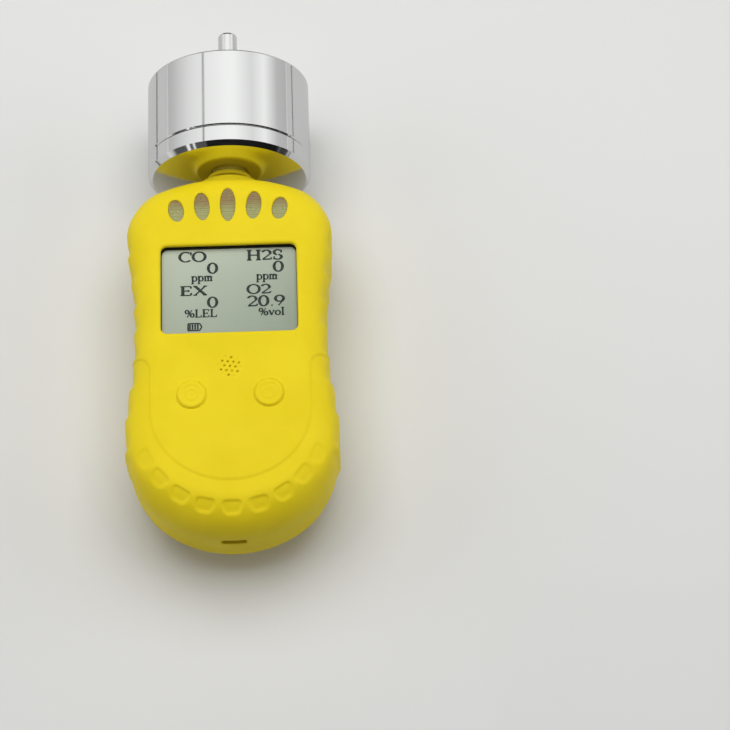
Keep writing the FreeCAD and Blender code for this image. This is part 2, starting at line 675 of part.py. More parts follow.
def head_base():
    """Base disc with its hollow threaded stem below and the can's spigot above."""
    disc = turned([(STEM_LOW_Y, STEM_BORE_R), (STEM_LOW_Y, STEM_TUBE_R), (HEAD_FACE_Y, STEM_TUBE_R),
                   (HEAD_FACE_Y, HEAD_R - HEAD_CHAMFER), (HEAD_FACE_Y + HEAD_CHAMFER, HEAD_R),
                   (SEAM_Y - SEAM_LOW_EDGE, HEAD_R), (SEAM_Y, HEAD_R - SEAM_LOW_EDGE),
                   (SEAM_Y, SPIGOT_R - 1.2), (SEAM_Y + 1.5, SPIGOT_R - 1.2),
                   (SEAM_Y + 1.5, SPIGOT_R), (SPIGOT_TOP_Y, SPIGOT_R), (SPIGOT_TOP_Y, 22.0),
                   (HEAD_FACE_Y + 2.6, 22.0), (HEAD_FACE_Y + 2.6, STEM_BORE_R)])
    return disc


def head_seal():
    """Square-section sealing ring in the groove at the seam, just clear of its walls."""
    return turned([(SEAM_Y + 0.1, SPIGOT_R - 1.1), (SEAM_Y + 0.1, SPIGOT_R + 0.02),
                   (SEAM_Y + 1.4, SPIGOT_R + 0.02), (SEAM_Y + 1.4, SPIGOT_R - 1.1)])


def head_can():
    inner_end = CAN_END_Y - CAN_END_WALL
    edge_y = SEAM_Y + SEAM_GAP
    can = turned([(edge_y, CAN_BORE_R), (edge_y, HEAD_R - SEAM_TOP_EDGE),
                  (edge_y + SEAM_TOP_EDGE, HEAD_R), (CAN_END_Y, HEAD_R),
                  (CAN_END_Y, NOZZLE_SHANK_R), (inner_end, NOZZLE_SHANK_R),
                  (inner_end, CAN_BORE_R)])
    rim = [e for e in can.Edges if abs(e.BoundBox.YMin - CAN_END_Y) < 1e-4
           and e.BoundBox.YLength < 1e-4 and e.BoundBox.XLength > HEAD_R]
    return can.makeFillet(CAN_RIM_R, rim)


def inlet_nozzle():
    """Tube with a flange inside the can and a shallow relief where it leaves the can."""
    inner_end = CAN_END_Y - CAN_END_WALL
    root = CAN_END_Y + NOZZLE_RELIEF
    tip = NOZZLE_TIP_Y - NOZZLE_TIP_ROUND
    return turned([(inner_end - 1.3, NOZZLE_BORE_R), (inner_end - 1.3, 5.5),
                   (inner_end - 0.3, 5.5), (inner_end - 0.3, NOZZLE_SHANK_R),
                   (root, NOZZLE_SHANK_R), (root, NOZZLE_R), (tip, NOZZLE_R),
                   (tip + NOZZLE_TIP_ROUND * 0.7, NOZZLE_R - NOZZLE_TIP_ROUND * 0.3),
                   (NOZZLE_TIP_Y, NOZZLE_R - NOZZLE_TIP_ROUND), (NOZZLE_TIP_Y, NOZZLE_BORE_R)])


def nozzle_seal():
    inner_end = CAN_END_Y - CAN_END_WALL
    return turned([(inner_end - 0.3, NOZZLE_SHANK_R), (inner_end - 0.3, 5.2), (inner_end, 5.2),
                   (inner_end, NOZZLE_SHANK_R)])


def filter_retainer():
    return turned([(RETAINER_LOW_Y, 22.6), (RETAINER_LOW_Y, 24.9), (RETAINER_TOP_Y, 24.9),
                   (RETAINER_TOP_Y, 22.6)])


def filter_disc():
    return turned([(FILTER_LOW_Y, 0), (FILTER_LOW_Y, 24.7), (FILTER_TOP_Y, 24.7),
                   (FILTER_TOP_Y, 0)])


def sensor_places():
    step = SENSOR_OFFSET
    return {"sensor_co": (-step, step), "sensor_h2s": (step, step),
            "sensor_ex": (-step, -step), "sensor_o2": (step, -step)}


def flow_gasket():
    disc = turned([(GASKET_LOW_Y, 0), (GASKET_LOW_Y, 24.6), (GASKET_TOP_Y, 24.6),
                   (GASKET_TOP_Y, 0)])
    return disc.cut([rod_y(x, HEAD_Z + z, 66, 67.5, 6.0) for x, z in sensor_places().values()])


def gas_sensor(place):
    x, z = place[0], HEAD_Z + place[1]
    return turned([(SENSOR_LOW_Y, 0), (SENSOR_LOW_Y, SENSOR_R), (SENSOR_TOP_Y - 1.5, SENSOR_R),
                   (SENSOR_TOP_Y - 1.5, SENSOR_R - 1), (SENSOR_TOP_Y, SENSOR_R - 1),
                   (SENSOR_TOP_Y, 2.0), (SENSOR_TOP_Y - 1, 2.0), (SENSOR_TOP_Y - 1, 0)], x, z)


def sensor_sockets():
    sockets = []
    for x, z in sensor_places().values():
        for turn in (90, 210, 330):
            angle = math.radians(turn)
            sockets.append(rod_y(x + SOCKET_CIRCLE_R * math.cos(angle),
                                 HEAD_Z + z + SOCKET_CIRCLE_R * math.sin(angle),
                                 SPIGOT_TOP_Y + SENSOR_BOARD_THICK, SENSOR_LOW_Y, SOCKET_R))
    return Part.makeCompound(sockets)


def sensor_board():
    top = SPIGOT_TOP_Y + SENSOR_BOARD_THICK
    disc = turned([(SPIGOT_TOP_Y, 0), (SPIGOT_TOP_Y, 24.4), (top, 24.4), (top, 0)])
    return disc.cut(rod_y(PUMP_TUBE_X, PUMP_TUBE_Z, 46, 50, PUMP_TUBE_BORE_R))


def neck_nut():
    corner = NECK_NUT_HALF_FLATS / math.cos(math.pi / 6)
    points = [Vector(corner * math.cos(k * math.pi / 3), NECK_NUT_LOW_Y,
                     HEAD_Z + corner * math.sin(k * math.pi / 3)) for k in range(7)]
    nut = Part.Face(Part.makePolygon(points)).extrude(Vector(0, NECK_NUT_THICK, 0))
    return nut.cut(rod_y(0, HEAD_Z, 20, 30, STEM_TUBE_R))


def neck_seal():
    return turned([(NECK_SEAL_Y, STEM_TUBE_R), (NECK_SEAL_Y, NECK_SEAL_R),
                   (HEAD_FACE_Y, NECK_SEAL_R), (HEAD_FACE_Y, STEM_TUBE_R)])


# --- belt clip --------------------------------------------------------------------------------

def clip_base():
    """Steel plate on the rear cover with two ears that carry the pin."""
    outer = CLIP_HALF_WIDTH + CLIP_EAR_GAP + CLIP_SHEET
    plate = block(-outer, outer, -34, 4, BODY_BACK_Z - CLIP_SHEET, BODY_BACK_Z, 1.0)
    ears = []
    for side in (-1, 1):
        x0 = min(side * outer, side * (outer - CLIP_SHEET))
        ears.append(box(x0, x0 + CLIP_SHEET, CLIP_PIVOT_Y - CLIP_EAR_R, CLIP_PIVOT_Y + CLIP_EAR_R,
                        CLIP_PIVOT_Z, BODY_BACK_Z - 0.5))
        ears.append(rod_x(CLIP_PIVOT_Y, CLIP_PIVOT_Z, x0, x0 + CLIP_SHEET, CLIP_EAR_R))
    holes = [rod_x(CLIP_PIVOT_Y, CLIP_PIVOT_Z, -20, 20, CLIP_PIN_R)]
    holes += [post(x, y, 5, BODY_BACK_Z + 1, CLIP_SCREW_R + 0.1) for x, y in CLIP_SCREWS]
    return fused([plate] + ears).cut(holes)


def clip_screws():
    screws = []
    for x, y in CLIP_SCREWS:
        low = BODY_BACK_Z - CLIP_SHEET
        head = Part.makeCone(1.2, 1.9, 0.7, Vector(x, y, low - 0.7))
        slot = box(x - 2, x + 2, y - 0.25, y + 0.25, low - 1, low - 0.4)
        screws.append(head.fuse(post(x, y, low, BODY_BACK_Z + 2.8, CLIP_SCREW_R)).cut(slot))
    return Part.makeCompound(screws)


def clip_pin():
    reach = CLIP_HALF_WIDTH + CLIP_EAR_GAP + CLIP_SHEET
    pin = rod_x(CLIP_PIVOT_Y, CLIP_PIVOT_Z, -reach, reach, CLIP_PIN_R)
    heads = [rod_x(CLIP_PIVOT_Y, CLIP_PIVOT_Z, x, x + 0.7, 1.9) for x in (-reach - 0.7, reach)]
    return fused([pin] + heads)


def clip_lever():
    """Flat spring-steel lever with ears on the pin, a thumb end and an upturned jaw."""
    half = CLIP_HALF_WIDTH
    plate = block(-half, half, CLIP_JAW_Y, CLIP_THUMB_Y, 0, CLIP_SHEET, 3.0)
    jaw = block(-half, half, CLIP_JAW_Y, CLIP_JAW_Y + 6.2, 0, BODY_BACK_Z - 0.4, 3.0)
    jaw = jaw.cut(box(-half - 1, half + 1, CLIP_JAW_Y + CLIP_SHEET, CLIP_JAW_Y + 8, CLIP_SHEET, 20))
    ears = []
    for side in (-1, 1):
        x0 = min(side * half, side * (half - CLIP_SHEET))
        ears.append(box(x0, x0 + CLIP_SHEET, CLIP_PIVOT_Y - LEVER_EAR_R,
                        CLIP_PIVOT_Y + LEVER_EAR_R, 0.5, CLIP_PIVOT_Z))
        ears.append(rod_x(CLIP_PIVOT_Y, CLIP_PIVOT_Z, x0, x0 + CLIP_SHEET, LEVER_EAR_R))
    body = fused([plate, jaw] + ears)
    return body.cut(rod_x(CLIP_PIVOT_Y, CLIP_PIVOT_Z, -20, 20, CLIP_PIN_R + CLIP_PIN_GAP))


def clip_spring():
    """Torsion spring round the pin, one leg on the lever and one on the base plate."""
    wire_r, coil_r, pitch, turns = 0.45, 2.1, 1.05, 8
    helix = Part.makeHelix(pitch, pitch * turns, coil_r)
    profile = Part.Wire(Part.makeCircle(wire_r, Vector(coil_r, 0, 0), Vector(0, 1, 0)))
    coil = Part.Wire(helix).makePipeShell([profile], True, True)
    coil.rotate(Vector(0, 0, 0), Vector(0, 1, 0), 90)
    coil.translate(Vector(-pitch * turns / 2, CLIP_PIVOT_Y, CLIP_PIVOT_Z))
    reach = pitch * turns / 2
    low = CLIP_PIVOT_Z - coil_r
    legs = [Part.makeCylinder(wire_r, 12, Vector(-reach, CLIP_PIVOT_Y + 0.5, low),
                              Vector(0, -1, -0.13)),
            Part.makeCylinder(wire_r, 12, Vector(reach, CLIP_PIVOT_Y + 0.5, low),
                              Vector(0, -1, 0.4))]
    return fused([coil] + legs)


PARTS = {
    "protective_boot": protective_boot(), "front_cover": front_cover(), "rear_cover": rear_cover(),
    "cover_seal": seal_ring(0), "cover_screws": cover_screws(), "lcd_window": lcd_window(),
    "lcd_gasket": lcd_gasket(), "lcd_module": lcd_module(), "lcd_backlight": lcd_backlight(),
    "lcd_bezel": lcd_bezel(), "light_guide": light_guide(), "alarm_leds": alarm_leds(),
    "buzzer": buzzer(), "buzzer_gasket": buzzer_gasket(), "buzzer_membrane": buzzer_membrane(),
    "button_left": button(-1), "button_right": button(1), "switch_body_left": switch_body(-1),
    "switch_body_right": switch_body(1), "switch_stem_left": switch_stem(-1),
    "switch_stem_right": switch_stem(1), "main_board": main_board(),
    "board_screws": board_screws(), "board_components": board_components(),
    "usb_port": usb_port(), "usb_tongue": usb_tongue(), "battery_cell": battery_cell(),
    "battery_holder": battery_holder(), "sensor_cable": sensor_cable(),
    "vibration_motor": vibration_motor(), "vibration_weight": vibration_weight(),
    "pump_motor": pump_motor(), "pump_crank": pump_crank(), "pump_head": pump_head(),
    "pump_tube": pump_tube(), "exhaust_vent": exhaust_vent(), "head_base": head_base(),
    "head_seal": head_seal(), "head_can": head_can(), "inlet_nozzle": inlet_nozzle(),
    "nozzle_seal": nozzle_seal(), "filter_retainer": filter_retainer(),
    "filter_disc": filter_disc(), "flow_gasket": flow_gasket(),
    "sensor_sockets": sensor_sockets(), "sensor_board": sensor_board(), "neck_nut": neck_nut(),
    "neck_seal": neck_seal(), "clip_base": clip_base(), "clip_screws": clip_screws(),
    "clip_pin": clip_pin(), "clip_lever": clip_lever(), "clip_spring": clip_spring(),
}
PARTS.update({name: gas_sensor(place) for name, place in sensor_places().items()})

for part_name, part_shape in PARTS.items():
    save(part_name, part_shape)
    print(part_name, part_shape.isValid(), len(part_shape.Solids), round(part_shape.Volume, 1))
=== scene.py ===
import math

import bpy
import numpy as np
from mathutils import Matrix, Vector


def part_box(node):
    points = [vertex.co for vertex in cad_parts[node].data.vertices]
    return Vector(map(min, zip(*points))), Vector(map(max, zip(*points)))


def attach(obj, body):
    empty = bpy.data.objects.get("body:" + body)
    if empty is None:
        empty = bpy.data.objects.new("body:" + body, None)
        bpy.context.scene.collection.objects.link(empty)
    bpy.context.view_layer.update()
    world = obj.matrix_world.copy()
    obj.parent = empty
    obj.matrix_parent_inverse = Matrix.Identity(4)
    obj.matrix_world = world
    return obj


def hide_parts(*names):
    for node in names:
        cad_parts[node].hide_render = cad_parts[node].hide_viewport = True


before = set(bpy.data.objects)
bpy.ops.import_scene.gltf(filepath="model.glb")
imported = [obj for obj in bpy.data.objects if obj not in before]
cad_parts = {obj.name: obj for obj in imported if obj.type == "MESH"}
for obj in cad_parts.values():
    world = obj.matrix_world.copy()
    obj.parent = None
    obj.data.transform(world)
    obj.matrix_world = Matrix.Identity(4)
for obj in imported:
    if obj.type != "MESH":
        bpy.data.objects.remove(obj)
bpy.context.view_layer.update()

# Portable gas detector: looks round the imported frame.  Sizes of the pieces are in millimetres
# and become metres when a mesh is made.  Sizes of the stage and of materials are in metres.
MM = 0.001
BODY = "detector_body"


def box_mm(node):
    """A node's lowest and highest corners in millimetres."""
    low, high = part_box(node)
    return low / MM, high / MM


# --- places taken from the frame ---------------------------------------------------------------

BOOT_LOW, BOOT_HIGH = box_mm("protective_boot")
BASE_LOW, BASE_HIGH = box_mm("head_base")
PANE_TOP_Z = box_mm("lcd_module")[1].z
BUTTON_LOW_Z = box_mm("button_right")[0].z
HEAD_Z = (BASE_LOW.z + BASE_HIGH.z) / 2
FRONT_Z = BOOT_HIGH.z
BACK_Z = BOOT_LOW.z
END_Y = BOOT_LOW.y

# --- body outline and features, as the moulded boot has them ------------------------------------

TOP_Y = 32.2
TOP_ARC_R = 60.0
TOP_ARC_HALF_WIDTH = 23.0
BULGE_HALF_WIDTH = 34.3
BULGE_Y = -59.8
SIDE_POLES = [(32.6, 19.2), (34.3, 10.5), (31.2, -8.0), (30.9, -24.0), (31.7, -38.0)]
SIDE_START_LEG = 4.5
SIDE_END_LEG = 10.3
FRONT_EDGE_R = 10.0
END_EDGE_R = 13.0
END_EDGE_Y = -70.0
END_EDGE_FADE = 16.0
BACK_EDGE_R = 8.6
BOOT_WALL = 2.0
# Openings in the front face are cut down to here, and those in the back up to here
FRONT_CUT_Z = 35.0
BACK_CUT_Z = 14.0
# The relief of the front face fades in above this height
RELIEF_LOW_Z = 30.0
RELIEF_FADE = 8.0

GRIP_STEP = 0.35
GRIP_SOFT = 0.55
GRIP_TOP_Y = -33.0
GRIP_TURN_R = 5.0
PANEL_HALF_WIDTH = 25.4
PANEL_ARC_Y = -51.6
PANEL_ARC_DEPTH = 24.0
DIMPLE_HALF_LENGTH = 2.95
DIMPLE_HALF_WIDTH = 1.95
DIMPLE_ROUND = 1.5
DIMPLE_DEPTH = 0.45
DIMPLE_TAPER = 0.22
DIMPLE_OUTER_SOFT = 1.35
DIMPLE_INNER_CRISP = 0.75
DIMPLE_EDGE_SHIFT = 0.35
DIMPLE_LIP_HEIGHT = 0.07
DIMPLE_LIP_OUT = 0.75
DIMPLE_LIP_WIDTH = 0.5
# Middle X, middle Y, turn in degrees, share of the full depth
DIMPLES = [(0.0, -84.1, 0.0, 1.0), (8.5, -83.1, 13.0, 1.0), (16.2, -79.6, 33.0, 1.0),
           (22.5, -74.1, 50.0, 0.9), (27.0, -67.5, 65.0, 0.6)]
NOTCH_YS = [13.7, 4.3, -4.7, -14.4, -22.5, -32.7, -42.5, -52.4, -63.7]
NOTCH_DEPTH = 0.7
NOTCH_END_Y = -88.0
# Shares of a notch's length over which it deepens and comes back
NOTCH_RAMP = 0.8
NOTCH_RETURN = 0.2
NOTCH_LAST_RAMP = 3.0
# Where the notches fade in towards the side, and out towards the back and the front
NOTCH_SIDE_X, NOTCH_SIDE_FADE = 24.0, 4.0
NOTCH_LOW_Z, NOTCH_LOW_FADE = 12.0, 4.0
NOTCH_HIGH_Z, NOTCH_HIGH_FADE = 41.0, 5.0

LCD_HALF_WIDTH = 21.8
LCD_TOP_Y = 4.8
LCD_LOW_Y = -25.6
LCD_CORNER_R = 2.0
LCD_EDGE = 1.3
# Middle X, middle Y, height and lean in degrees
ALARM_WINDOWS = [(0.0, 19.3, 11.8, 0.0), (8.4, 18.8, 9.7, -5.0), (16.8, 17.5, 7.8, -10.0)]
ALARM_WINDOW_WIDTH = 4.7
ALARM_WINDOW_GAP = 0.1
ALARM_WINDOW_EDGE = 0.45
SOUNDER_Y = -37.7
SOUNDER_PITCH = 1.75
SOUNDER_HOLE_R = 0.35
SOUNDER_BLIND_DEPTH = 0.2
SOUNDER_DEPTH = 0.9
SOUNDER_TURN = math.radians(-8.5)
SOUNDER_EDGE = 0.15
# Holes within this many pitches of the middle are deep
SOUNDER_OPEN_REACH = 1.9
BUTTON_X = 12.2
BUTTON_Y = -47.1
BUTTON_R = 4.65
BUTTON_HOLE_R = BUTTON_R + 0.1
BUTTON_HOLE_EDGE = 0.12
PLUNGER_R = 2.2
BUTTON_CAP_LOW_Z = 43.0
PORT_HALF_WIDTH = 3.9
PORT_Z = 28.55
PORT_HALF_HEIGHT = 1.45
PORT_CORNER_R = 0.6
PORT_END_Y = -83.0
PAD_X, PAD_LOW_Y, PAD_HIGH_Y = 12.2, -36.2, 6.2
PAD_CORNER_R = 3.2
VENT_X, VENT_Y, VENT_R = 16.8, 18.8, 2.4
OPENING_EDGE = 0.5
COLLAR_R = 11.0
COLLAR_TOP_Y = 33.1
COLLAR_FOOT_Y = 20.0
COLLAR_EDGE_R = 0.6
COLLAR_BLEND = 2.4
NECK_BORE_R = 6.1
NECK_BORE_EDGE = 0.1
INSIDE_EDGE = 0.15


# --- small maths for distance fields ------------------------------------------------------------

def smoothstep(t):
    """Smooth rise from 0 to 1 as t goes from 0 to 1."""
    t = np.clip(t, 0.0, 1.0)
    return t * t * (3 - 2 * t)


def soft_min(a, b, k):
    """Union of two fields, blended over a width of k."""
    h = np.maximum(k - np.abs(a - b), 0.0) / k
    return np.minimum(a, b) - h * h * k / 4


def soft_max(a, b, k):
    """Intersection of two fields, blended over a width of k."""
    return -soft_min(-a, -b, k)


def round_edge(a, b, r):
    """Intersection of two half-spaces with a round edge of radius r."""
    u, v = a + r, b + r
    return np.minimum(np.maximum(u, v), 0.0) + np.hypot(np.maximum(u, 0.0),
                                                        np.maximum(v, 0.0)) - r


def round_inside(a, b, r):
    """Union of two regions with a round inner corner of radius r."""
    return -round_edge(-a, -b, r)


def round_box(x, y, half_x, half_y, r):
    """Signed distance to a rectangle with round corners."""
    qx, qy = np.abs(x) - half_x + r, np.abs(y) - half_y + r
    return np.hypot(np.maximum(qx, 0), np.maximum(qy, 0)) + np.minimum(np.maximum(qx, qy), 0) - r


def side_curve(count):
    """Points of the cubic B-spline with clamped ends through the side's control points."""
    start_y = TOP_Y - TOP_ARC_R + math.sqrt(TOP_ARC_R ** 2 - TOP_ARC_HALF_WIDTH ** 2)
    fall = math.asin(TOP_ARC_HALF_WIDTH / TOP_ARC_R)
    start = (TOP_ARC_HALF_WIDTH, start_y)
    second = (start[0] + SIDE_START_LEG * math.cos(fall),
              start[1] - SIDE_START_LEG * math.sin(fall))
    poles = np.array([start, second] + SIDE_POLES
                     + [(BULGE_HALF_WIDTH, BULGE_Y + SIDE_END_LEG), (BULGE_HALF_WIDTH, BULGE_Y)])
    spans = len(poles) - 3
    knots = np.concatenate([[0.0] * 3, np.arange(spans + 1), [float(spans)] * 3])
    out = []
    for t in np.linspace(0, spans, count):
        k = min(int(t), spans - 1) + 3
        d = [poles[j + k - 3].copy() for j in range(4)]
        for r in range(1, 4):
            for j in range(3, r - 1, -1):
                low = knots[j + k - 3]
                alpha = (t - low) / (knots[j + 1 + k - r] - low)
                d[j] = (1 - alpha) * d[j - 1] + alpha * d[j]
        out.append(d[3])
    return np.array(out)


def outline_points():
    """Right half of the body's outline, from the top middle to the charging end's middle."""
    fall = math.asin(TOP_ARC_HALF_WIDTH / TOP_ARC_R)
    a = np.linspace(0, fall, 16)[:-1]
    top = np.stack([TOP_ARC_R * np.sin(a), TOP_Y - TOP_ARC_R + TOP_ARC_R * np.cos(a)], 1)
    e = np.linspace(0, math.pi / 2, 49)[1:]
    end = np.stack([BULGE_HALF_WIDTH * np.cos(e), BULGE_Y - (BULGE_Y - END_Y) * np.sin(e)], 1)
    return np.concatenate([top, side_curve(64), end])


OUTLINE = outline_points()


def outline_distance(x, y):
    """Signed distance to the outline seen from the front, negative inside."""
    px, py = np.abs(np.asarray(x, float)), np.asarray(y, float)
    best = np.full(np.broadcast(px, py).shape, 1e9)
    crossings = np.zeros(best.shape, int)
    for (ax, ay), (bx, by) in zip(OUTLINE, OUTLINE[1:]):
        ex, ey = bx - ax, by - ay
        t = np.clip(((px - ax) * ex + (py - ay) * ey) / (ex * ex + ey * ey), 0, 1)
        best = np.minimum(best, (px - ax - t * ex) ** 2 + (py - ay - t * ey) ** 2)
        beyond = (py < ay) & (py >= by)
        crossings += beyond & (px < ax + (py - ay) / ey * ex)
    return np.where(crossings % 2 == 1, -1.0, 1.0) * np.sqrt(best)


def skin(outline, y, z):
    """The plain body: the outline with its round front and back edges."""
    toward_end = smoothstep((END_EDGE_Y - y) / END_EDGE_FADE)
    front_r = FRONT_EDGE_R + (END_EDGE_R - FRONT_EDGE_R) * toward_end
    front = round_edge(outline, z - FRONT_Z + 0 * y, front_r)
    back = round_edge(outline, BACK_Z - z + 0 * y, BACK_EDGE_R)
    return np.maximum(front, back)


def panel_plan(x, y):
    """Plan of the raised front panel: negative inside it."""
    column = np.where(y > PANEL_ARC_Y, np.abs(x) - PANEL_HALF_WIDTH,
                      (np.hypot(x / PANEL_HALF_WIDTH, (y - PANEL_ARC_Y) / PANEL_ARC_DEPTH) - 1)
                      * PANEL_ARC_DEPTH)
    return round_inside(column, GRIP_TOP_Y - y + 0 * x, GRIP_TURN_R)


def dimple_relief(x, y):
    """Depth of the row of dimples, with a faint raised lip on their outer side."""
    depth = 0.0 * (x + y)
    for cx, cy, turn, share in DIMPLES:
        c, s = math.cos(math.radians(turn)), math.sin(math.radians(turn))
        u = (np.abs(x) - cx) * c + (y - cy) * s
        v = -(np.abs(x) - cx) * s + (y - cy) * c
        if cx == 0:
            u, v = x + 0 * y, y - cy + 0 * x
        pull = DIMPLE_TAPER * v
        d = round_box(u + 0 * v, v, DIMPLE_HALF_LENGTH + pull, DIMPLE_HALF_WIDTH, DIMPLE_ROUND)
        inner = smoothstep((v + 1.0) / 2.0)
        soft = DIMPLE_OUTER_SOFT - DIMPLE_INNER_CRISP * inner
        depth = depth + DIMPLE_DEPTH * share * smoothstep(-d / soft + DIMPLE_EDGE_SHIFT)
        lip = np.exp(-((d - DIMPLE_LIP_OUT) / DIMPLE_LIP_WIDTH) ** 2) * (1 - inner)
        depth = depth - DIMPLE_LIP_HEIGHT * share * lip
    return depth


def notch_relief(x, y, z):
    """Saw-tooth finger notches down both sides."""
    depth = 0.0 * y
    for start, stop in zip(NOTCH_YS, NOTCH_YS[1:]):
        t = (start - y) / (start - stop)
        ramp = np.clip(t / NOTCH_RAMP, 0, 1) * (1 - smoothstep((t - NOTCH_RAMP) / NOTCH_RETURN))
        depth = depth + NOTCH_DEPTH * np.where((t > 0) & (t < 1), smoothstep(ramp), 0)
    below = NOTCH_YS[-1] - y
    fade = 1 - smoothstep(below / (NOTCH_YS[-1] - NOTCH_END_Y))
    depth = depth + NOTCH_DEPTH * smoothstep(below / NOTCH_LAST_RAMP) * fade
    side = smoothstep((np.abs(x) - NOTCH_SIDE_X) / NOTCH_SIDE_FADE)
    band = (smoothstep((z - NOTCH_LOW_Z) / NOTCH_LOW_FADE)
            * smoothstep((NOTCH_HIGH_Z - z) / NOTCH_HIGH_FADE))
    return depth * side * band


def sounder_relief(x, y, z):
    """Thirteen deep holes and six faint corner ones: negative where material is missing."""
    c, s = math.cos(SOUNDER_TURN), math.sin(SOUNDER_TURN)
    far = 50.0
    open_holes = np.full(np.broadcast(x, y).shape, far)
    blind = open_holes.copy()
    row_step = SOUNDER_PITCH * math.sqrt(3) / 2
    for row in range(-2, 3):
        for place in range(5 - abs(row)):
            hx, hy = (place - (4 - abs(row)) / 2) * SOUNDER_PITCH, row * row_step
            d = np.hypot(x - (hx * c - hy * s), y - SOUNDER_Y - (hx * s + hy * c))
            if math.hypot(hx, hy) < SOUNDER_OPEN_REACH * SOUNDER_PITCH:
                open_holes = np.minimum(open_holes, d - SOUNDER_HOLE_R)
            else:
                blind = np.minimum(blind, d - SOUNDER_HOLE_R)
    return np.minimum(np.maximum(open_holes, FRONT_Z - SOUNDER_DEPTH - z),
                      np.maximum(blind, FRONT_Z - SOUNDER_BLIND_DEPTH - z))


def boot_distance(x, y, z, outline):
    """Signed distance to the whole boot, negative inside the rubber."""
    base = skin(outline, y, z)
    high = smoothstep((z - RELIEF_LOW_Z) / RELIEF_FADE)
    grip = GRIP_STEP * smoothstep(panel_plan(x, y) / GRIP_SOFT + 0.5) * high
    outside = base + grip + dimple_relief(x, y) * high + notch_relief(x, y, z)
    turned = np.hypot(x, z - HEAD_Z)
    collar = round_edge(turned - COLLAR_R, y - COLLAR_TOP_Y + 0 * x, COLLAR_EDGE_R)
    outside = soft_min(outside, np.maximum(collar, COLLAR_FOOT_Y - y), COLLAR_BLEND)
    solid = soft_max(outside, -(base + BOOT_WALL), INSIDE_EDGE)
    front_side = FRONT_CUT_Z - z
    lcd = round_box(x, y - (LCD_TOP_Y + LCD_LOW_Y) / 2, LCD_HALF_WIDTH,
                    (LCD_TOP_Y - LCD_LOW_Y) / 2, LCD_CORNER_R)
    solid = soft_max(solid, -np.maximum(lcd, front_side), LCD_EDGE)
    for cx, cy, height, lean in ALARM_WINDOWS:
        c, s = math.cos(math.radians(lean)), math.sin(math.radians(lean))
        mx = np.abs(x) - cx if cx else x
        u, v = mx * c + (y - cy) * s, -mx * s + (y - cy) * c
        a, b = ALARM_WINDOW_WIDTH / 2 + ALARM_WINDOW_GAP, height / 2 + ALARM_WINDOW_GAP
        window = (np.hypot(u / a, v / b) - 1) * a
        solid = soft_max(solid, -np.maximum(window, front_side), ALARM_WINDOW_EDGE)
    button = np.hypot(np.abs(x) - BUTTON_X, y - BUTTON_Y) - BUTTON_HOLE_R
    solid = soft_max(solid, -np.maximum(button, front_side), BUTTON_HOLE_EDGE)
    solid = soft_max(solid, -sounder_relief(x, y, z), SOUNDER_EDGE)
    port = round_box(x + 0 * z, z - PORT_Z + 0 * x, PORT_HALF_WIDTH, PORT_HALF_HEIGHT,
                     PORT_CORNER_R)
    solid = soft_max(solid, -np.maximum(port, y - PORT_END_Y), OPENING_EDGE)
    back_side = z - BACK_CUT_Z
    pad = round_box(x, y - (PAD_LOW_Y + PAD_HIGH_Y) / 2, PAD_X, (PAD_HIGH_Y - PAD_LOW_Y) / 2,
                    PAD_CORNER_R)
    solid = soft_max(solid, -np.maximum(pad, back_side), OPENING_EDGE)
    vent = np.hypot(x - VENT_X, y - VENT_Y) - VENT_R
    solid = soft_max(solid, -np.maximum(vent, back_side), OPENING_EDGE)
    bore = np.maximum(turned - NECK_BORE_R, COLLAR_FOOT_Y - y)
    return soft_max(solid, -bore, NECK_BORE_EDGE)


# --- surface nets -------------------------------------------------------------------------------

def graded_lines(low, high, step, fine=()):
    """Grid lines from low to high, closer together inside the fine stretches."""
    lines = [low]
    while lines[-1] < high:
        at = lines[-1]
        here = [s for a, b, s in fine if a <= at < b]
        lines.append(at + (here[0] if here else step))
    return np.array(lines)


def surface_net(values, xs, ys, zs):
    """Vertices and quads on the zero level of values on a grid."""
    inside = values < 0
    count = np.zeros(tuple(n - 1 for n in values.shape), np.int8)
    shape = count.shape
    for i, j, k in np.ndindex(2, 2, 2):
        count += inside[i:i + shape[0], j:j + shape[1], k:k + shape[2]]
    active = (count > 0) & (count < 8)
    cells = np.argwhere(active)
    number = np.full(shape, -1, np.int64)
    number[active] = np.arange(len(cells))
    total = np.zeros((len(cells), 3))
    hits = np.zeros(len(cells))
    axes = (xs, ys, zs)
    for axis in range(3):
        for a in (0, 1):
            for b in (0, 1):
                first = cells.copy()
                others = [n for n in range(3) if n != axis]
                first[:, others[0]] += a
                first[:, others[1]] += b
                second = first.copy()
                second[:, axis] += 1
                f0 = values[tuple(first.T)]
                f1 = values[tuple(second.T)]
                crossing = (f0 < 0) != (f1 < 0)
                t = np.where(crossing, f0 / np.where(crossing, f0 - f1, 1), 0)
                for n in range(3):
                    start = axes[n][first[:, n]]
                    total[:, n] += crossing * (start + t * (axes[n][second[:, n]] - start))
                hits += crossing
    points = total / hits[:, None]
    quads = []
    for axis in range(3):
        others = [n for n in range(3) if n != axis]
        low = [slice(None)] * 3
        high = [slice(None)] * 3
        low[axis], high[axis] = slice(0, -1), slice(1, None)
        for n in others:
            low[n] = high[n] = slice(1, -1)
        first, second = inside[tuple(low)], inside[tuple(high)]
        for flip, mask in ((False, first & ~second), (True, second & ~first)):
            at = np.argwhere(mask)
            for n in others:
                at[:, n] += 1
            ring = []
            for a, b in ((1, 1), (0, 1), (0, 0), (1, 0)):
                cell = at.copy()
                cell[:, others[0]] -= a
                cell[:, others[1]] -= b
                ring.append(number[tuple(cell.T)])
            quad = np.stack(ring, 1)
            if flip != (axis == 1):
                quad = quad[:, ::-1]
            quads.append(quad)
    return points, np.concatenate(quads)


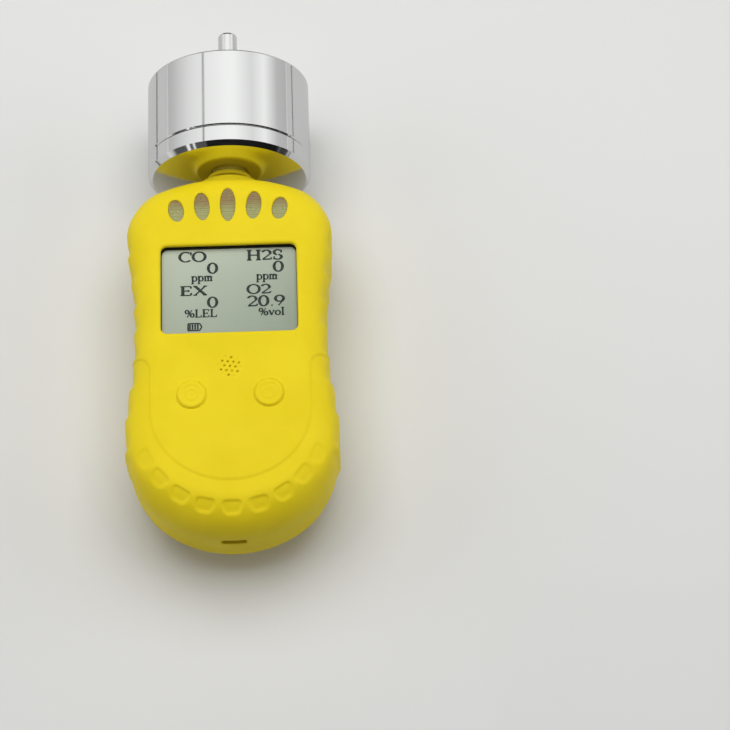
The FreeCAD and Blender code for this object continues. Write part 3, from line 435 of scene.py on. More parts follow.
def settle(points, distance):
    """Moves points onto the zero level along the field's slope."""
    step, rounds, flattest, longest = 0.02, 2, 0.25, 0.3
    for _ in range(rounds):
        value = distance(points)
        slope = np.stack([(distance(points + d) - distance(points - d)) / (2 * step)
                          for d in np.eye(3) * step], 1)
        size = np.maximum((slope ** 2).sum(1), flattest)
        move = slope * (value / size)[:, None]
        length = np.linalg.norm(move, axis=1)
        points = points - move * np.minimum(1, longest / np.maximum(length, 1e-9))[:, None]
    return points


# --- meshes -------------------------------------------------------------------------------------

def piece(name, points, faces, body, material, sharp=None):
    """A mesh piece from points in millimetres that rides on a body."""
    mesh = bpy.data.meshes.new(name)
    mesh.from_pydata([tuple(float(c) * MM for c in p) for p in points], [],
                     [tuple(int(i) for i in f) for f in faces])
    mesh.polygons.foreach_set("use_smooth", [True] * len(mesh.polygons))
    if sharp is not None:
        mesh.set_sharp_from_angle(angle=math.radians(sharp))
    mesh.validate()
    mesh.materials.append(material)
    obj = bpy.data.objects.new(name, mesh)
    bpy.context.scene.collection.objects.link(obj)
    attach(obj, body)
    return obj


# --- materials ----------------------------------------------------------------------------------

def linear(r, g, b):
    """A colour given in display steps of 0 to 255, as scene-linear values."""
    def one(c):
        c /= 255
        return c / 12.92 if c <= 0.04045 else ((c + 0.055) / 1.055) ** 2.4
    return one(r), one(g), one(b), 1.0


class Finish:
    """A Principled material with procedural colour variation, roughness and bump."""

    def __init__(self, name, colour, roughness, metallic=0.0, **sockets):
        self.material = bpy.data.materials.new(name)
        self.material.use_nodes = True
        self.tree = self.material.node_tree
        self.shader = self.tree.nodes["Principled BSDF"]
        self.colour = colour
        self.roughness = roughness
        self.shader.inputs["Base Color"].default_value = colour
        self.shader.inputs["Roughness"].default_value = roughness
        self.shader.inputs["Metallic"].default_value = metallic
        for key, value in sockets.items():
            self.shader.inputs[key.replace("_", " ")].default_value = value
        self.place = self.tree.nodes.new("ShaderNodeTexCoord").outputs["Object"]

    def node(self, kind, inputs=(), **settings):
        """A new node with its inputs linked or set, and its own settings."""
        made = self.tree.nodes.new(kind)
        for key, value in settings.items():
            setattr(made, key, value)
        for key, value in dict(inputs).items():
            if isinstance(value, bpy.types.NodeSocket):
                self.tree.links.new(value, made.inputs[key])
            else:
                made.inputs[key].default_value = value
        return made

    def stretched(self, scale):
        return self.node("ShaderNodeMapping", {"Vector": self.place, "Scale": scale}).outputs[0]

    def noise(self, scale, detail=3.0, stretch=None, roughness=0.5):
        place = self.stretched(stretch) if stretch else self.place
        return self.node("ShaderNodeTexNoise", {"Vector": place, "Scale": scale, "Detail": detail,
                                                "Roughness": roughness}).outputs[0]

    def ramp(self, value, low, high, out_low, out_high):
        """The value's range from low to high spread over out_low to out_high."""
        return self.node("ShaderNodeMapRange", {"Value": value, "From Min": low, "From Max": high,
                                                "To Min": out_low, "To Max": out_high}).outputs[0]

    def vary_colour(self, value, other, low=0.35, high=0.65):
        """Blends the base colour into another as the value rises from low to high."""
        blend = self.node("ShaderNodeMix", data_type="RGBA")
        blend.inputs[6].default_value = self.colour
        blend.inputs[7].default_value = other
        self.tree.links.new(self.ramp(value, low, high, 0, 1), blend.inputs[0])
        self.tree.links.new(blend.outputs[2], self.shader.inputs["Base Color"])
        return self

    def vary_roughness(self, value, spread):
        """Lets the roughness follow the value, by spread either way."""
        out = self.ramp(value, 0.3, 0.7, self.roughness - spread, self.roughness + spread)
        self.tree.links.new(out, self.shader.inputs["Roughness"])
        return self

    def bump(self, value, depth):
        """Bump whose full height is depth in metres, on top of any bump made before."""
        bump = self.node("ShaderNodeBump", {"Height": value, "Distance": depth, "Strength": 1.0})
        before = self.shader.inputs["Normal"].links
        if before:
            self.tree.links.new(before[0].from_socket, bump.inputs["Normal"])
        self.tree.links.new(bump.outputs[0], self.shader.inputs["Normal"])
        return self


def plastic(name, colour, roughness=0.45, grain=0.00002):
    """Moulded plastic with a fine spark-eroded grain."""
    made = Finish(name, colour, roughness)
    other = tuple(min(1, c * 1.25 + 0.004) for c in colour[:3]) + (1,)
    made.vary_colour(made.noise(900, 2), other, 0.45, 0.7)
    made.vary_roughness(made.noise(160), 0.08)
    return made.bump(made.noise(5200, 2), grain).material


def metal(name, colour, roughness, streak=None):
    """Bare metal, brushed along one axis where streak gives its stretch."""
    made = Finish(name, colour, roughness, metallic=1.0)
    made.vary_roughness(made.noise(220, 4, stretch=streak), 0.05)
    if streak:
        made.bump(made.noise(900, 3, stretch=streak), 0.000004)
    return made.material


def yellow_silicone():
    """Soft yellow rubber that lets a little light into its surface."""
    made = Finish("yellow_silicone", linear(239, 215, 32), 0.5, Specular_IOR_Level=0.12,
                  Subsurface_Weight=0.12, Subsurface_Scale=0.0015)
    made.shader.inputs["Subsurface Radius"].default_value = (1.0, 0.7, 0.1)
    made.vary_colour(made.noise(46, 4, roughness=0.55), linear(234, 210, 26), 0.4, 0.62)
    made.vary_roughness(made.noise(120, 3), 0.06)
    made.bump(made.noise(3600, 2), 0.000014)
    return made.material


def chrome():
    """Polished plating with barely visible wipe marks."""
    made = Finish("chrome", (0.86, 0.87, 0.86, 1), 0.08, metallic=1.0)
    made.vary_roughness(made.noise(60, 4), 0.02)
    return made.material


def clear_window():
    """Clear acrylic, thin enough to leave only a faint sheen over the display."""
    made = Finish("clear_window", (0.05, 0.06, 0.055, 1), 0.04, Specular_IOR_Level=1.0, Alpha=0.08)
    return made.vary_roughness(made.noise(90, 3), 0.01).material


DISPLAY_WIDTH = 0.0436
DISPLAY_HEIGHT = 0.0292
LENS_RIB_PITCH = 0.0013
LENS_BROWN_FROM_Y, LENS_BROWN_TO_Y = 0.0145, 0.0225


def display_glass():
    """Grey-green reflective display, with painted shading that makes it a little darker towards
    its lower right corner.
    """
    made = Finish("display_glass", linear(213, 222, 202), 0.42, Specular_IOR_Level=0.3)
    # Painted shade: the colour blends to a darker grey-green towards the lower right corner,
    # standing in for light that falls unevenly across the display.
    corner = (0.45 / DISPLAY_WIDTH, -0.55 / DISPLAY_HEIGHT, 0)
    across = made.node("ShaderNodeVectorMath", {0: made.place, 1: corner},
                       operation="DOT_PRODUCT").outputs["Value"]
    made.vary_colour(across, linear(168, 180, 161), -0.3, 0.62)
    made.vary_roughness(made.noise(300), 0.05)
    made.bump(made.noise(5000, 1), 0.000003)
    return made.material


def lens_plastic():
    """Smoky diffusing plastic with cross ribs, browner towards the head."""
    made = Finish("lens_plastic", linear(178, 178, 120), 0.3, Transmission_Weight=0.2, IOR=1.45)
    along = made.node("ShaderNodeSeparateXYZ", {"Vector": made.place}).outputs[1]
    ribs = made.node("ShaderNodeMath", {0: along, 1: 2 * math.pi / LENS_RIB_PITCH},
                     operation="MULTIPLY").outputs[0]
    ribs = made.node("ShaderNodeMath", {0: ribs}, operation="SINE").outputs[0]
    brown = made.ramp(along, LENS_BROWN_FROM_Y, LENS_BROWN_TO_Y, 0, 1)
    made.vary_colour(brown, linear(162, 138, 92), 0.35, 0.8)
    made.vary_roughness(made.noise(500), 0.08)
    made.bump(ribs, 0.00012)
    made.bump(made.noise(2200, 2), 0.00002)
    return made.material


def display_ink():
    """Dark grey-green of the switched-on segments."""
    made = Finish("display_ink", linear(40, 49, 46), 0.5, Specular_IOR_Level=0.2)
    made.vary_colour(made.noise(400, 2), linear(48, 57, 53))
    return made.vary_roughness(made.noise(300), 0.05).material


def circuit_board():
    """Green solder mask with faint blotches."""
    made = Finish("circuit_board", linear(24, 92, 52), 0.4)
    made.vary_colour(made.noise(240, 1), linear(30, 112, 60), 0.45, 0.55)
    made.vary_roughness(made.noise(300), 0.06)
    return made.bump(made.noise(900, 1), 0.00002).material


def cable_jacket():
    """Grey ribbon cable with narrow red strands."""
    made = Finish("cable_jacket", linear(180, 180, 178), 0.5)
    wave = made.node("ShaderNodeTexWave", {"Vector": made.place, "Scale": 400.0,
                                           "Distortion": 0.2}).outputs[1]
    made.vary_colour(wave, linear(140, 60, 52), 0.8, 0.95)
    return made.bump(wave, 0.0001).material


def filter_paper():
    """Matt white fibre disc."""
    made = Finish("filter_paper", linear(236, 234, 226), 0.9)
    made.vary_colour(made.noise(1200, 4), linear(216, 212, 202))
    return made.bump(made.noise(1500, 5), 0.00008).material


def clear_tube():
    """Milky clear silicone hose."""
    made = Finish("clear_tube", (0.93, 0.94, 0.9, 1), 0.18, Transmission_Weight=0.8, IOR=1.42)
    return made.vary_roughness(made.noise(300), 0.05).material


FINISHES = {
    "yellow_silicone": yellow_silicone(),
    "dark_plastic": plastic("dark_plastic", linear(38, 39, 41)),
    "black_rubber": plastic("black_rubber", linear(22, 22, 23), 0.7, 0.00004),
    "screw_steel": metal("screw_steel", (0.42, 0.42, 0.43, 1), 0.32),
    "clear_window": clear_window(),
    "display_glass": display_glass(),
    "white_plastic": plastic("white_plastic", linear(226, 226, 220)),
    "bright_steel": metal("bright_steel", (0.62, 0.62, 0.61, 1), 0.28, streak=(1, 0.04, 1)),
    "lens_plastic": lens_plastic(),
    "led_resin": plastic("led_resin", linear(214, 60, 48), 0.2, 0.000002),
    "membrane": metal("membrane", (0.75, 0.6, 0.3, 1), 0.35),
    "switch_plastic": plastic("switch_plastic", linear(60, 62, 70)),
    "circuit_board": circuit_board(),
    "chip_plastic": plastic("chip_plastic", linear(26, 27, 28), 0.5),
    "cell_wrap": plastic("cell_wrap", linear(60, 96, 150), 0.35, 0.000004),
    "cable_jacket": cable_jacket(),
    "clear_tube": clear_tube(),
    "chrome": chrome(),
    "filter_paper": filter_paper(),
    "sensor_white": plastic("sensor_white", linear(232, 232, 228), 0.4),
}


def dress_cad_nodes():
    """Gives every CAD node the finish that its material slot names."""
    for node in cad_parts.values():
        for holder in node.material_slots:
            holder.material = FINISHES[holder.material.name.split(".")[0]]
    # The ring between the boot's collar and the head is moulded in the boot's colour.
    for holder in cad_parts["neck_seal"].material_slots:
        holder.material = FINISHES["yellow_silicone"]


# --- boot ---------------------------------------------------------------------------------------

GRID_STEP = 0.62
GRID_HALF_X = 36.2
GRID_LOW_Y = -92.6
GRID_PAST_COLLAR = 1.5
GRID_PAST_BACK = 1.3
GRID_PAST_FRONT = 1.2
# Finer stretches round the sounder holes, the buttons, the collar's edge and the front's rims
SOUNDER_REACH, SOUNDER_STEP = 4.5, 0.22
BUTTON_REACH, BUTTON_STEP = BUTTON_HOLE_R + 0.9, 0.33
COLLAR_EDGE_STRETCH = (32.0, 34.2, 0.25)
FRONT_RIM_STRETCH = (42.6, 44.6, 0.3)


def stretch_round(middle, reach, step):
    return middle - reach, middle + reach, step


def make_boot():
    """The boot as one smooth skin, meshed from its distance field."""
    xs = graded_lines(-GRID_HALF_X, GRID_HALF_X, GRID_STEP,
                      [stretch_round(0.0, SOUNDER_REACH, SOUNDER_STEP),
                       stretch_round(-BUTTON_X, BUTTON_REACH, BUTTON_STEP),
                       stretch_round(BUTTON_X, BUTTON_REACH, BUTTON_STEP)])
    ys = graded_lines(GRID_LOW_Y, COLLAR_TOP_Y + GRID_PAST_COLLAR, GRID_STEP,
                      [stretch_round(SOUNDER_Y, SOUNDER_REACH, SOUNDER_STEP),
                       COLLAR_EDGE_STRETCH, stretch_round(BUTTON_Y, BUTTON_REACH, BUTTON_STEP)])
    zs = graded_lines(BACK_Z - GRID_PAST_BACK, FRONT_Z + GRID_PAST_FRONT, GRID_STEP,
                      [FRONT_RIM_STRETCH])
    x, y, z = np.meshgrid(xs, ys, zs, indexing="ij", sparse=True)
    values = boot_distance(x, y, z, outline_distance(x, y))
    points, quads = surface_net(values, xs, ys, zs)

    def distance(p):
        return boot_distance(p[:, 0], p[:, 1], p[:, 2], outline_distance(p[:, 0], p[:, 1]))

    points = settle(points, distance)
    boot = piece("boot_skin", points, quads, BODY, FINISHES["yellow_silicone"],
                 sharp=50)
    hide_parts("protective_boot")


# --- display text -------------------------------------------------------------------------------

PEN_SIDE = 0.22
PEN_FLAT = 0.13
SERIF_REACH = 0.17
FOOT_REACH = 0.13


def upright(x, low, high):
    """A thick upright stroke with a thin serif at each end."""
    return [(x, low, x, high, PEN_SIDE),
            (x - SERIF_REACH, low, x + SERIF_REACH, low, PEN_FLAT),
            (x - SERIF_REACH, high, x + SERIF_REACH, high, PEN_FLAT)]


def feet(y, *places):
    """Short flat strokes that end slanted strokes."""
    return [(x - FOOT_REACH, y, x + FOOT_REACH, y, PEN_FLAT) for x in places]


# Each glyph: its width, then bars (x0, y0, x1, y1, width) and rings (x, y, half width, half
# height, first and last angle).  Sizes are shares of a capital's height.
GLYPHS = {
    "C": (0.95, [(0.87, 0.66, 0.87, 0.97, PEN_FLAT)], [(0.5, 0.5, 0.42, 0.47, 48, 318)]),
    "O": (1.02, [], [(0.5, 0.5, 0.43, 0.47, 0, 360)]),
    "H": (1.05, upright(0.2, 0.03, 0.97) + upright(0.85, 0.03, 0.97)
          + [(0.2, 0.5, 0.85, 0.5, PEN_FLAT)], []),
    "S": (0.75, [(0.62, 0.68, 0.62, 0.97, PEN_FLAT), (0.12, 0.03, 0.12, 0.32, PEN_FLAT)],
          [(0.37, 0.73, 0.25, 0.24, 40, 262), (0.37, 0.27, 0.27, 0.24, -142, 82)]),
    "E": (0.88, upright(0.2, 0.03, 0.97) + [(0.2, 0.97, 0.74, 0.97, PEN_FLAT),
          (0.2, 0.5, 0.58, 0.5, PEN_FLAT), (0.2, 0.03, 0.76, 0.03, PEN_FLAT),
          (0.74, 0.74, 0.74, 0.97, PEN_FLAT), (0.76, 0.03, 0.76, 0.28, PEN_FLAT),
          (0.58, 0.39, 0.58, 0.61, PEN_FLAT)], []),
    "X": (0.98, [(0.15, 0.97, 0.82, 0.03, PEN_SIDE), (0.15, 0.03, 0.82, 0.97, PEN_FLAT)]
          + feet(0.97, 0.15, 0.82) + feet(0.03, 0.15, 0.82), []),
    "L": (0.82, upright(0.2, 0.03, 0.97) + [(0.2, 0.03, 0.72, 0.03, PEN_FLAT),
          (0.72, 0.03, 0.72, 0.3, PEN_FLAT)], []),
    "0": (0.8, [], [(0.38, 0.5, 0.3, 0.47, 0, 360)]),
    "2": (0.8, [(0.66, 0.6, 0.1, 0.07, 0.12), (0.08, 0.07, 0.7, 0.07, 0.14),
                (0.7, 0.07, 0.73, 0.24, PEN_FLAT)], [(0.37, 0.7, 0.28, 0.26, -25, 165)]),
    "9": (0.8, [(0.62, 0.5, 0.3, 0.04, 0.11), (0.66, 0.66, 0.6, 0.42, 0.14)],
          [(0.38, 0.68, 0.29, 0.28, 0, 360)]),
    ".": (0.32, [(0.1, 0.06, 0.22, 0.06, 0.13)], []),
    "p": (0.78, upright(0.18, -0.3, 0.62), [(0.43, 0.32, 0.25, 0.3, 0, 360)]),
    "m": (1.12, upright(0.18, 0.03, 0.6) + upright(0.54, 0.03, 0.5) + upright(0.9, 0.03, 0.5),
          [(0.36, 0.46, 0.18, 0.17, 0, 150), (0.72, 0.46, 0.18, 0.17, 0, 150)]),
    "v": (0.72, [(0.12, 0.62, 0.36, 0.03, PEN_SIDE), (0.36, 0.03, 0.6, 0.62, PEN_FLAT)]
          + feet(0.62, 0.12, 0.6), []),
    "o": (0.7, [], [(0.34, 0.32, 0.26, 0.29, 0, 360)]),
    "l": (0.42, upright(0.2, 0.03, 0.97), []),
    "%": (1.1, [(0.25, 0.03, 0.8, 0.97, PEN_FLAT)],
          [(0.25, 0.72, 0.18, 0.24, 0, 360), (0.82, 0.28, 0.18, 0.24, 0, 360)]),
}
# Text, middle X, middle Y, width and height of its capitals or figures, in millimetres
DISPLAY_TEXT = [
    ("CO", -11.7, 2.1, 9.0, 3.6), ("H2S", 11.6, 2.1, 11.8, 3.6),
    ("0", -5.2, -2.1, 3.6, 3.8), ("0", 16.0, -2.1, 3.6, 3.8),
    ("ppm", -8.7, -5.2, 7.0, 2.8), ("ppm", 12.2, -5.2, 7.0, 2.8),
    ("EX", -11.4, -9.9, 8.9, 3.3), ("O2", 9.6, -9.9, 7.9, 3.4),
    ("0", -5.3, -14.1, 3.6, 3.8), ("20.9", 11.8, -14.1, 12.4, 3.8),
    ("%LEL", -9.1, -17.9, 10.4, 2.7), ("%vol", 13.5, -17.9, 8.3, 2.7),
]
BATTERY_X, BATTERY_Y, BATTERY_LONG, BATTERY_HIGH = -11.1, -22.6, 4.4, 2.4
BATTERY_TIP = 0.7
BATTERY_LINE = 0.5
BATTERY_BARS = 4
BATTERY_BAR_WIDTH = 0.58
BATTERY_BAR_GAP = 0.3
RING_STEPS = 28
# The segments lie this far above the display glass
INK_LIFT = 0.04


def bar_quad(x0, y0, x1, y1, width):
    """Corners of a straight stroke."""
    length = math.hypot(x1 - x0, y1 - y0)
    nx, ny = -(y1 - y0) / length * width / 2, (x1 - x0) / length * width / 2
    return [(x0 - nx, y0 - ny), (x1 - nx, y1 - ny), (x1 + nx, y1 + ny), (x0 + nx, y0 + ny)]


def ring_quads(cx, cy, rx, ry, first, last):
    """Quads of a ring that is thick at its sides and thin at its top and bottom."""
    rims = []
    for k in range(RING_STEPS + 1):
        a = math.radians(first + (last - first) * k / RING_STEPS)
        rims.append([(cx + (rx + side * PEN_SIDE / 2) * math.cos(a),
                      cy + (ry + side * PEN_FLAT / 2) * math.sin(a)) for side in (-1, 1)])
    return [[a[0], a[1], b[1], b[0]] for a, b in zip(rims, rims[1:])]


def text_quads(text, cx, cy, width, height):
    """Quads of one word whose capitals have the given width in all and the given height."""
    total = sum(GLYPHS[letter][0] for letter in text)
    stretch = width / total
    at, quads = cx - width / 2, []
    for letter in text:
        advance, bars, rings = GLYPHS[letter]
        shapes = [bar_quad(*bar) for bar in bars]
        for ring in rings:
            shapes += ring_quads(*ring)
        quads += [[(at + x * stretch, cy + (y - 0.5) * height) for x, y in quad]
                  for quad in shapes]
        at += advance * stretch
    return quads


def battery_quads():
    """Outline with a pointed right end, and four bars inside."""
    x0, x1 = BATTERY_X - BATTERY_LONG / 2, BATTERY_X + BATTERY_LONG / 2 - BATTERY_TIP
    y0, y1 = BATTERY_Y - BATTERY_HIGH / 2, BATTERY_Y + BATTERY_HIGH / 2
    tip = BATTERY_X + BATTERY_LONG / 2
    corners = [(x0, y0), (x1, y0), (tip, BATTERY_Y), (x1, y1), (x0, y1), (x0, y0)]
    quads = [bar_quad(*a, *b, BATTERY_LINE) for a, b in zip(corners, corners[1:])]
    step = (x1 - x0) / (BATTERY_BARS + 0.4)
    for k in range(BATTERY_BARS):
        x = x0 + step * (k + 0.7)
        quads.append(bar_quad(x, y0 + BATTERY_BAR_GAP, x, y1 - BATTERY_BAR_GAP,
                              BATTERY_BAR_WIDTH))
    return quads


def make_display_text():
    """The display's switched-on segments, as one flat piece."""
    quads = battery_quads()
    for row in DISPLAY_TEXT:
        quads += text_quads(*row)
    points = [(x, y, PANE_TOP_Z + INK_LIFT) for quad in quads for x, y in quad]
    faces = [range(4 * k, 4 * k + 4) for k in range(len(quads))]
    piece("display_segments", points, faces, BODY, display_ink())


# --- buttons ------------------------------------------------------------------------------------

BUTTON_PROUD = 0.52
BUTTON_EDGE_R = BUTTON_R + 0.08
RIM_HEIGHT, RIM_R, RIM_WIDTH = 0.16, 3.6, 0.6
FALL_DEPTH, FALL_FROM_R, FALL_WIDTH = 0.56, 4.15, 0.58
SIGN_HEIGHT, SIGN_HALF_LINE, SIGN_SOFT = 0.13, 0.1, 0.35
SIGN_R = 1.8
SIGN_GAP_HALF_WIDTH = 0.6
SIGN_BAR_Y, SIGN_BAR_HALF_LENGTH = 1.5, 0.8
BUTTON_SEGMENTS = 72
BUTTON_RINGS = 34
BUTTON_FIRST_R = 0.15


def button_height(r, x, y, power):
    """Height of a button's top: a shallow dish inside a soft rim, with a faint raised sign."""
    rim = RIM_HEIGHT * np.exp(-((r - RIM_R) / RIM_WIDTH) ** 2)
    fall = FALL_DEPTH * smoothstep((r - FALL_FROM_R) / FALL_WIDTH)
    height = FRONT_Z + BUTTON_PROUD + rim - fall
    line = np.abs(np.hypot(x, y) - SIGN_R)
    if power:
        line = np.where((y > 0) & (np.abs(x) < SIGN_GAP_HALF_WIDTH), 1.0, line)
        bar = np.hypot(x, np.maximum(np.abs(y - SIGN_BAR_Y) - SIGN_BAR_HALF_LENGTH, 0))
        line = np.minimum(line, bar)
    else:
        line = np.minimum(line, np.hypot(x, y))
    return height + SIGN_HEIGHT * (1 - smoothstep((line - SIGN_HALF_LINE) / SIGN_SOFT))


def make_button(side, power):
    """One round button cap with its plunger; the power sign is a broken ring with a bar."""
    name = "right" if side > 0 else "left"
    segments = BUTTON_SEGMENTS
    angles = np.arange(segments) * 2 * math.pi / segments
    cx = side * BUTTON_X
    loops = []
    for r in np.linspace(BUTTON_FIRST_R, BUTTON_EDGE_R, BUTTON_RINGS):
        x, y = r * np.cos(angles), r * np.sin(angles)
        loops.append(np.stack([cx + x, BUTTON_Y + y, button_height(r, x, y, power)], 1))
    for r, z in ((BUTTON_EDGE_R, BUTTON_CAP_LOW_Z), (PLUNGER_R, BUTTON_CAP_LOW_Z),
                 (PLUNGER_R, BUTTON_LOW_Z)):
        loops.append(np.stack([cx + r * np.cos(angles), BUTTON_Y + r * np.sin(angles),
                               np.full(segments, z)], 1))
    top = float(button_height(np.zeros(1), np.zeros(1), np.zeros(1), power)[0])
    points = np.concatenate(loops + [[[cx, BUTTON_Y, top], [cx, BUTTON_Y, BUTTON_LOW_Z]]])
    faces = []
    for k in range(len(loops) - 1):
        for j in range(segments):
            n = (j + 1) % segments
            faces.append((k * segments + j, (k + 1) * segments + j, (k + 1) * segments + n,
                          k * segments + n))
    last = (len(loops) - 1) * segments
    for j in range(segments):
        n = (j + 1) % segments
        faces.append((len(points) - 2, j, n))
        faces.append((len(points) - 1, last + n, last + j))
    cap = piece(name + "_button_cap", points, faces, name + "_button",
                FINISHES["yellow_silicone"], sharp=50)
    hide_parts("button_" + name)


# --- camera, lights and floor -------------------------------------------------------------------

# Metres from here on
AIM = Vector((0.0429, -0.0317, 0.027))
LOOK_DOWN = math.radians(67.4)
TURN = math.radians(1.9)
DISTANCE = 0.8239
LENS = 125.75


def make_camera():
    """Long lens high above the front face, a little towards the charging end."""
    data = bpy.data.cameras.new("camera")
    data.sensor_width = 36.0
    data.lens = LENS
    data.clip_start = 0.05
    camera = bpy.data.objects.new("camera", data)
    bpy.context.scene.collection.objects.link(camera)
    forward = Vector((math.sin(TURN) * math.cos(LOOK_DOWN), math.cos(TURN) * math.cos(LOOK_DOWN),
                      -math.sin(LOOK_DOWN)))
    right = Vector((math.cos(TURN), -math.sin(TURN), 0))
    up = right.cross(forward)
    turn = Matrix((right, up, -forward)).transposed().to_4x4()
    camera.matrix_world = Matrix.Translation(AIM - forward * DISTANCE) @ turn
    bpy.context.scene.camera = camera


def make_light(name, place, target, width, height, radiance):
    """Soft area light; the reflections come from the tent instead."""
    data = bpy.data.lights.new(name, "AREA")
    data.shape = "RECTANGLE"
    data.size, data.size_y = width, height
    data.energy = radiance * math.pi * width * height
    light = bpy.data.objects.new(name, data)
    bpy.context.scene.collection.objects.link(light)
    toward = Vector(target) - Vector(place)
    light.matrix_world = Matrix.Translation(Vector(place)) @ toward.to_track_quat("-Z", "Y") \
        .to_matrix().to_4x4()
    light.visible_glossy = False


def stage_mesh(name, points, faces, material, smooth=False):
    """A mesh that belongs to the studio and not to the object."""
    mesh = bpy.data.meshes.new(name)
    mesh.from_pydata(points, [], faces)
    mesh.polygons.foreach_set("use_smooth", [smooth] * len(mesh.polygons))
    mesh.materials.append(material)
    obj = bpy.data.objects.new(name, mesh)
    bpy.context.scene.collection.objects.link(obj)
    return obj


def rectangle(x0, x1, y0, y1, z):
    """Corners of a flat card lying at a height of z."""
    return [(x0, y0, z), (x1, y0, z), (x1, y1, z), (x0, y1, z)]


def upright_card(x0, x1, y, z0, z1):
    """Corners of a card standing across the view."""
    return [(x0, y, z0), (x1, y, z0), (x1, y, z1), (x0, y, z1)]


# Radiance of the lights, and strength of the even light from all round
KEY = 3.35
SIDE_FILL = 1.5
FRONT_FILL = 0.05
WORLD_LIGHT = 0.08
LIGHT_TARGET = (0, 0, 0.03)
FLOOR_HALF = 3
TENT_R = 1.2
TENT_STEPS = 64
TENT_FRONT_Y = -0.6
TENT_BACK_Y = 1.6
# Angle from straight up towards +X in degrees, and brightness there
TENT_BRIGHTNESS = [(-100, 0.46), (-82, 0.53), (-52, 0.79), (-34.5, 0.88), (-33, 0.3), (-32, 0.3),
                   (-30.5, 0.9), (-20, 0.92), (0, 1.0), (10, 1.0), (35, 0.77), (53, 0.95),
                   (74, 0.53), (100, 0.45)]
TENT_SPAN = 100.0
# Cards that only the polished metal shows.  Lying ones: name, brightness, x0, x1, y0, y1, z
DARK_CARD = 0.02
GREY_CARD = 0.55
LYING_CARDS = [
    ("right_strip", DARK_CARD, 0.162 - 0.015 / 2, 0.162 + 0.015 / 2, -0.6, 0.6, 0.001),
    ("left_strip", DARK_CARD, -0.088 - 0.007 / 2, -0.088 + 0.007 / 2, -0.6, 0.6, 0.001),
    ("grey_under", GREY_CARD, -0.5, 0.5, -0.1, 1.0, 0.0005),
    ("low_flag", DARK_CARD, 0.08, 1.0, -0.9, -0.1, 0.001),
]
# Black card beyond the charging end, and glowing ones before it: x0, x1, y, z0, z1
TALL_FLAG = (-0.65, 1.6, -1.5, 0, 1.1)
CHAMFER_GLOWS = [("glow_outer", (-1.3, -1.2, -1.49, 0.1, 0.6)),
                 ("glow_middle", (-1.08, -1.0, -1.49, 0.1, 0.6)),
                 ("glow_inner", (-0.86, -0.8, -1.49, 0.1, 0.6))]


def glowing(name):
    """A material that only gives light: itself, its node tree and the light's colour socket."""
    material = bpy.data.materials.new(name)
    material.use_nodes = True
    tree = material.node_tree
    tree.nodes.clear()
    glow = tree.nodes.new("ShaderNodeEmission")
    out = tree.nodes.new("ShaderNodeOutputMaterial")
    tree.links.new(glow.outputs[0], out.inputs["Surface"])
    return material, tree, glow.inputs["Color"]


def glowing_card():
    material, _, colour = glowing("glowing_card")
    colour.default_value = (1, 1, 1, 1)
    return material


def tent_cloth():
    """Glowing cloth whose brightness follows the angle round the tent."""
    material, tree, colour = glowing("tent_cloth")
    place = tree.nodes.new("ShaderNodeTexCoord").outputs["Object"]
    parts = tree.nodes.new("ShaderNodeSeparateXYZ")
    tree.links.new(place, parts.inputs[0])
    angle = tree.nodes.new("ShaderNodeMath")
    angle.operation = "ARCTAN2"
    tree.links.new(parts.outputs[0], angle.inputs[0])
    tree.links.new(parts.outputs[2], angle.inputs[1])
    span = tree.nodes.new("ShaderNodeMapRange")
    span.inputs["From Min"].default_value = -math.radians(TENT_SPAN)
    span.inputs["From Max"].default_value = math.radians(TENT_SPAN)
    tree.links.new(angle.outputs[0], span.inputs["Value"])
    ramp = tree.nodes.new("ShaderNodeValToRGB")
    tree.links.new(span.outputs[0], ramp.inputs[0])
    stops = ramp.color_ramp.elements
    while len(stops) < len(TENT_BRIGHTNESS):
        stops.new(0.5)
    for stop, (degrees, value) in zip(stops, TENT_BRIGHTNESS):
        stop.position = (degrees + TENT_SPAN) / (2 * TENT_SPAN)
        stop.color = (value, value, value, 1)
    tree.links.new(ramp.outputs[0], colour)
    return material


def only_in_reflections(obj):
    """Hides a studio piece from everything except the polished metal."""
    obj.visible_camera = obj.visible_diffuse = obj.visible_transmission = False
    obj.visible_shadow = obj.visible_volume_scatter = False


def make_card(name, points, material):
    only_in_reflections(stage_mesh(name, points, [(0, 1, 2, 3)], material))


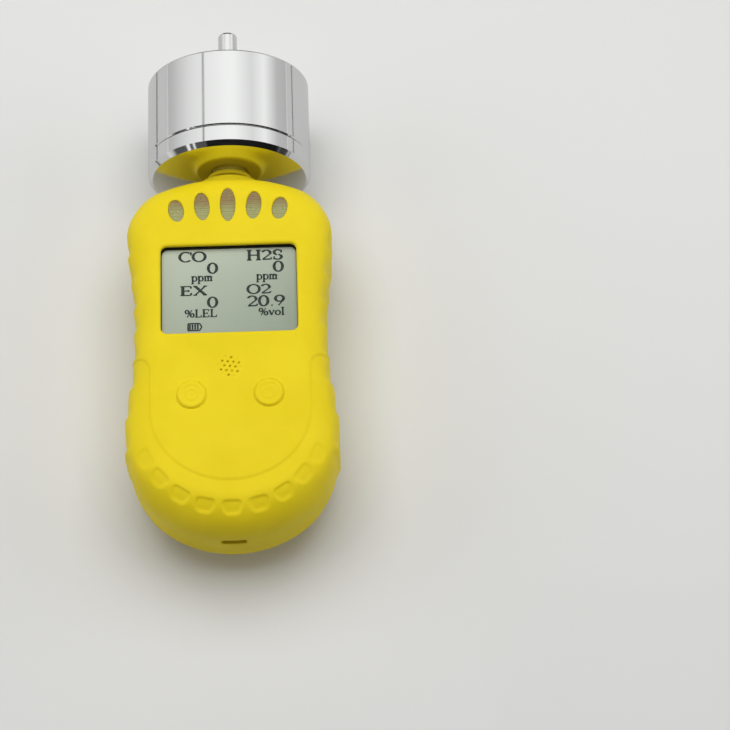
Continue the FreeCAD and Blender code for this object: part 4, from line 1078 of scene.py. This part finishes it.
def make_tent():
    """Half cylinder over the object, for the long soft reflections in the head."""
    points, faces = [], []
    for k in range(TENT_STEPS + 1):
        a = math.radians(TENT_SPAN) * (2 * k / TENT_STEPS - 1)
        points += [(TENT_R * math.sin(a), TENT_FRONT_Y, TENT_R * math.cos(a)),
                   (TENT_R * math.sin(a), TENT_BACK_Y, TENT_R * math.cos(a))]
    for k in range(TENT_STEPS):
        faces.append((2 * k, 2 * k + 1, 2 * k + 3, 2 * k + 2))
    only_in_reflections(stage_mesh("light_tent", points, faces, tent_cloth(), smooth=True))


def make_floor():
    paper = Finish("floor_paper", linear(228, 228, 226), 0.8)
    paper.vary_colour(paper.noise(3, 2), linear(224, 224, 222))
    floor = rectangle(-FLOOR_HALF, FLOOR_HALF, -FLOOR_HALF, FLOOR_HALF, 0)
    stage_mesh("floor", floor, [(0, 1, 2, 3)], paper.material)


def make_cards():
    """Cards that give the polished metal something dark or grey to reflect."""
    cards = {}
    for name, tone, *place in LYING_CARDS:
        if tone not in cards:
            colour = (tone, tone, tone, 1)
            cards[tone] = Finish(name + "_card", colour, 0.9).material
        make_card(name, rectangle(*place), cards[tone])
    make_card("tall_flag", upright_card(*TALL_FLAG), cards[DARK_CARD])


def make_glows():
    """Small bright cards that show as glints in the chamfer of the head's base."""
    glow = glowing_card()
    for name, place in CHAMFER_GLOWS:
        make_card(name, upright_card(*place), glow)


def make_stage():
    make_floor()
    make_cards()
    make_tent()
    make_glows()
    make_light("overhead_softbox", (0.0, 0.24, 1.02), LIGHT_TARGET, 1.1, 0.85, KEY)
    make_light("left_softbox", (-1.1, 0.1, 0.6), LIGHT_TARGET, 0.9, 0.8, SIDE_FILL)
    make_light("right_softbox", (1.1, 0.1, 0.6), LIGHT_TARGET, 0.9, 0.8, SIDE_FILL)
    make_light("front_softbox", (0.0, -1.1, 0.6), LIGHT_TARGET, 0.9, 0.6, FRONT_FILL)
    world = bpy.data.worlds.new("studio")
    world.use_nodes = True
    background = world.node_tree.nodes["Background"]
    background.inputs["Color"].default_value = (1, 1, 1, 1)
    background.inputs["Strength"].default_value = WORLD_LIGHT
    bpy.context.scene.world = world
    bpy.context.scene.view_settings.view_transform = "Standard"


make_camera()
make_stage()
dress_cad_nodes()
make_boot()
make_display_text()
make_button(-1, power=False)
make_button(1, power=True)
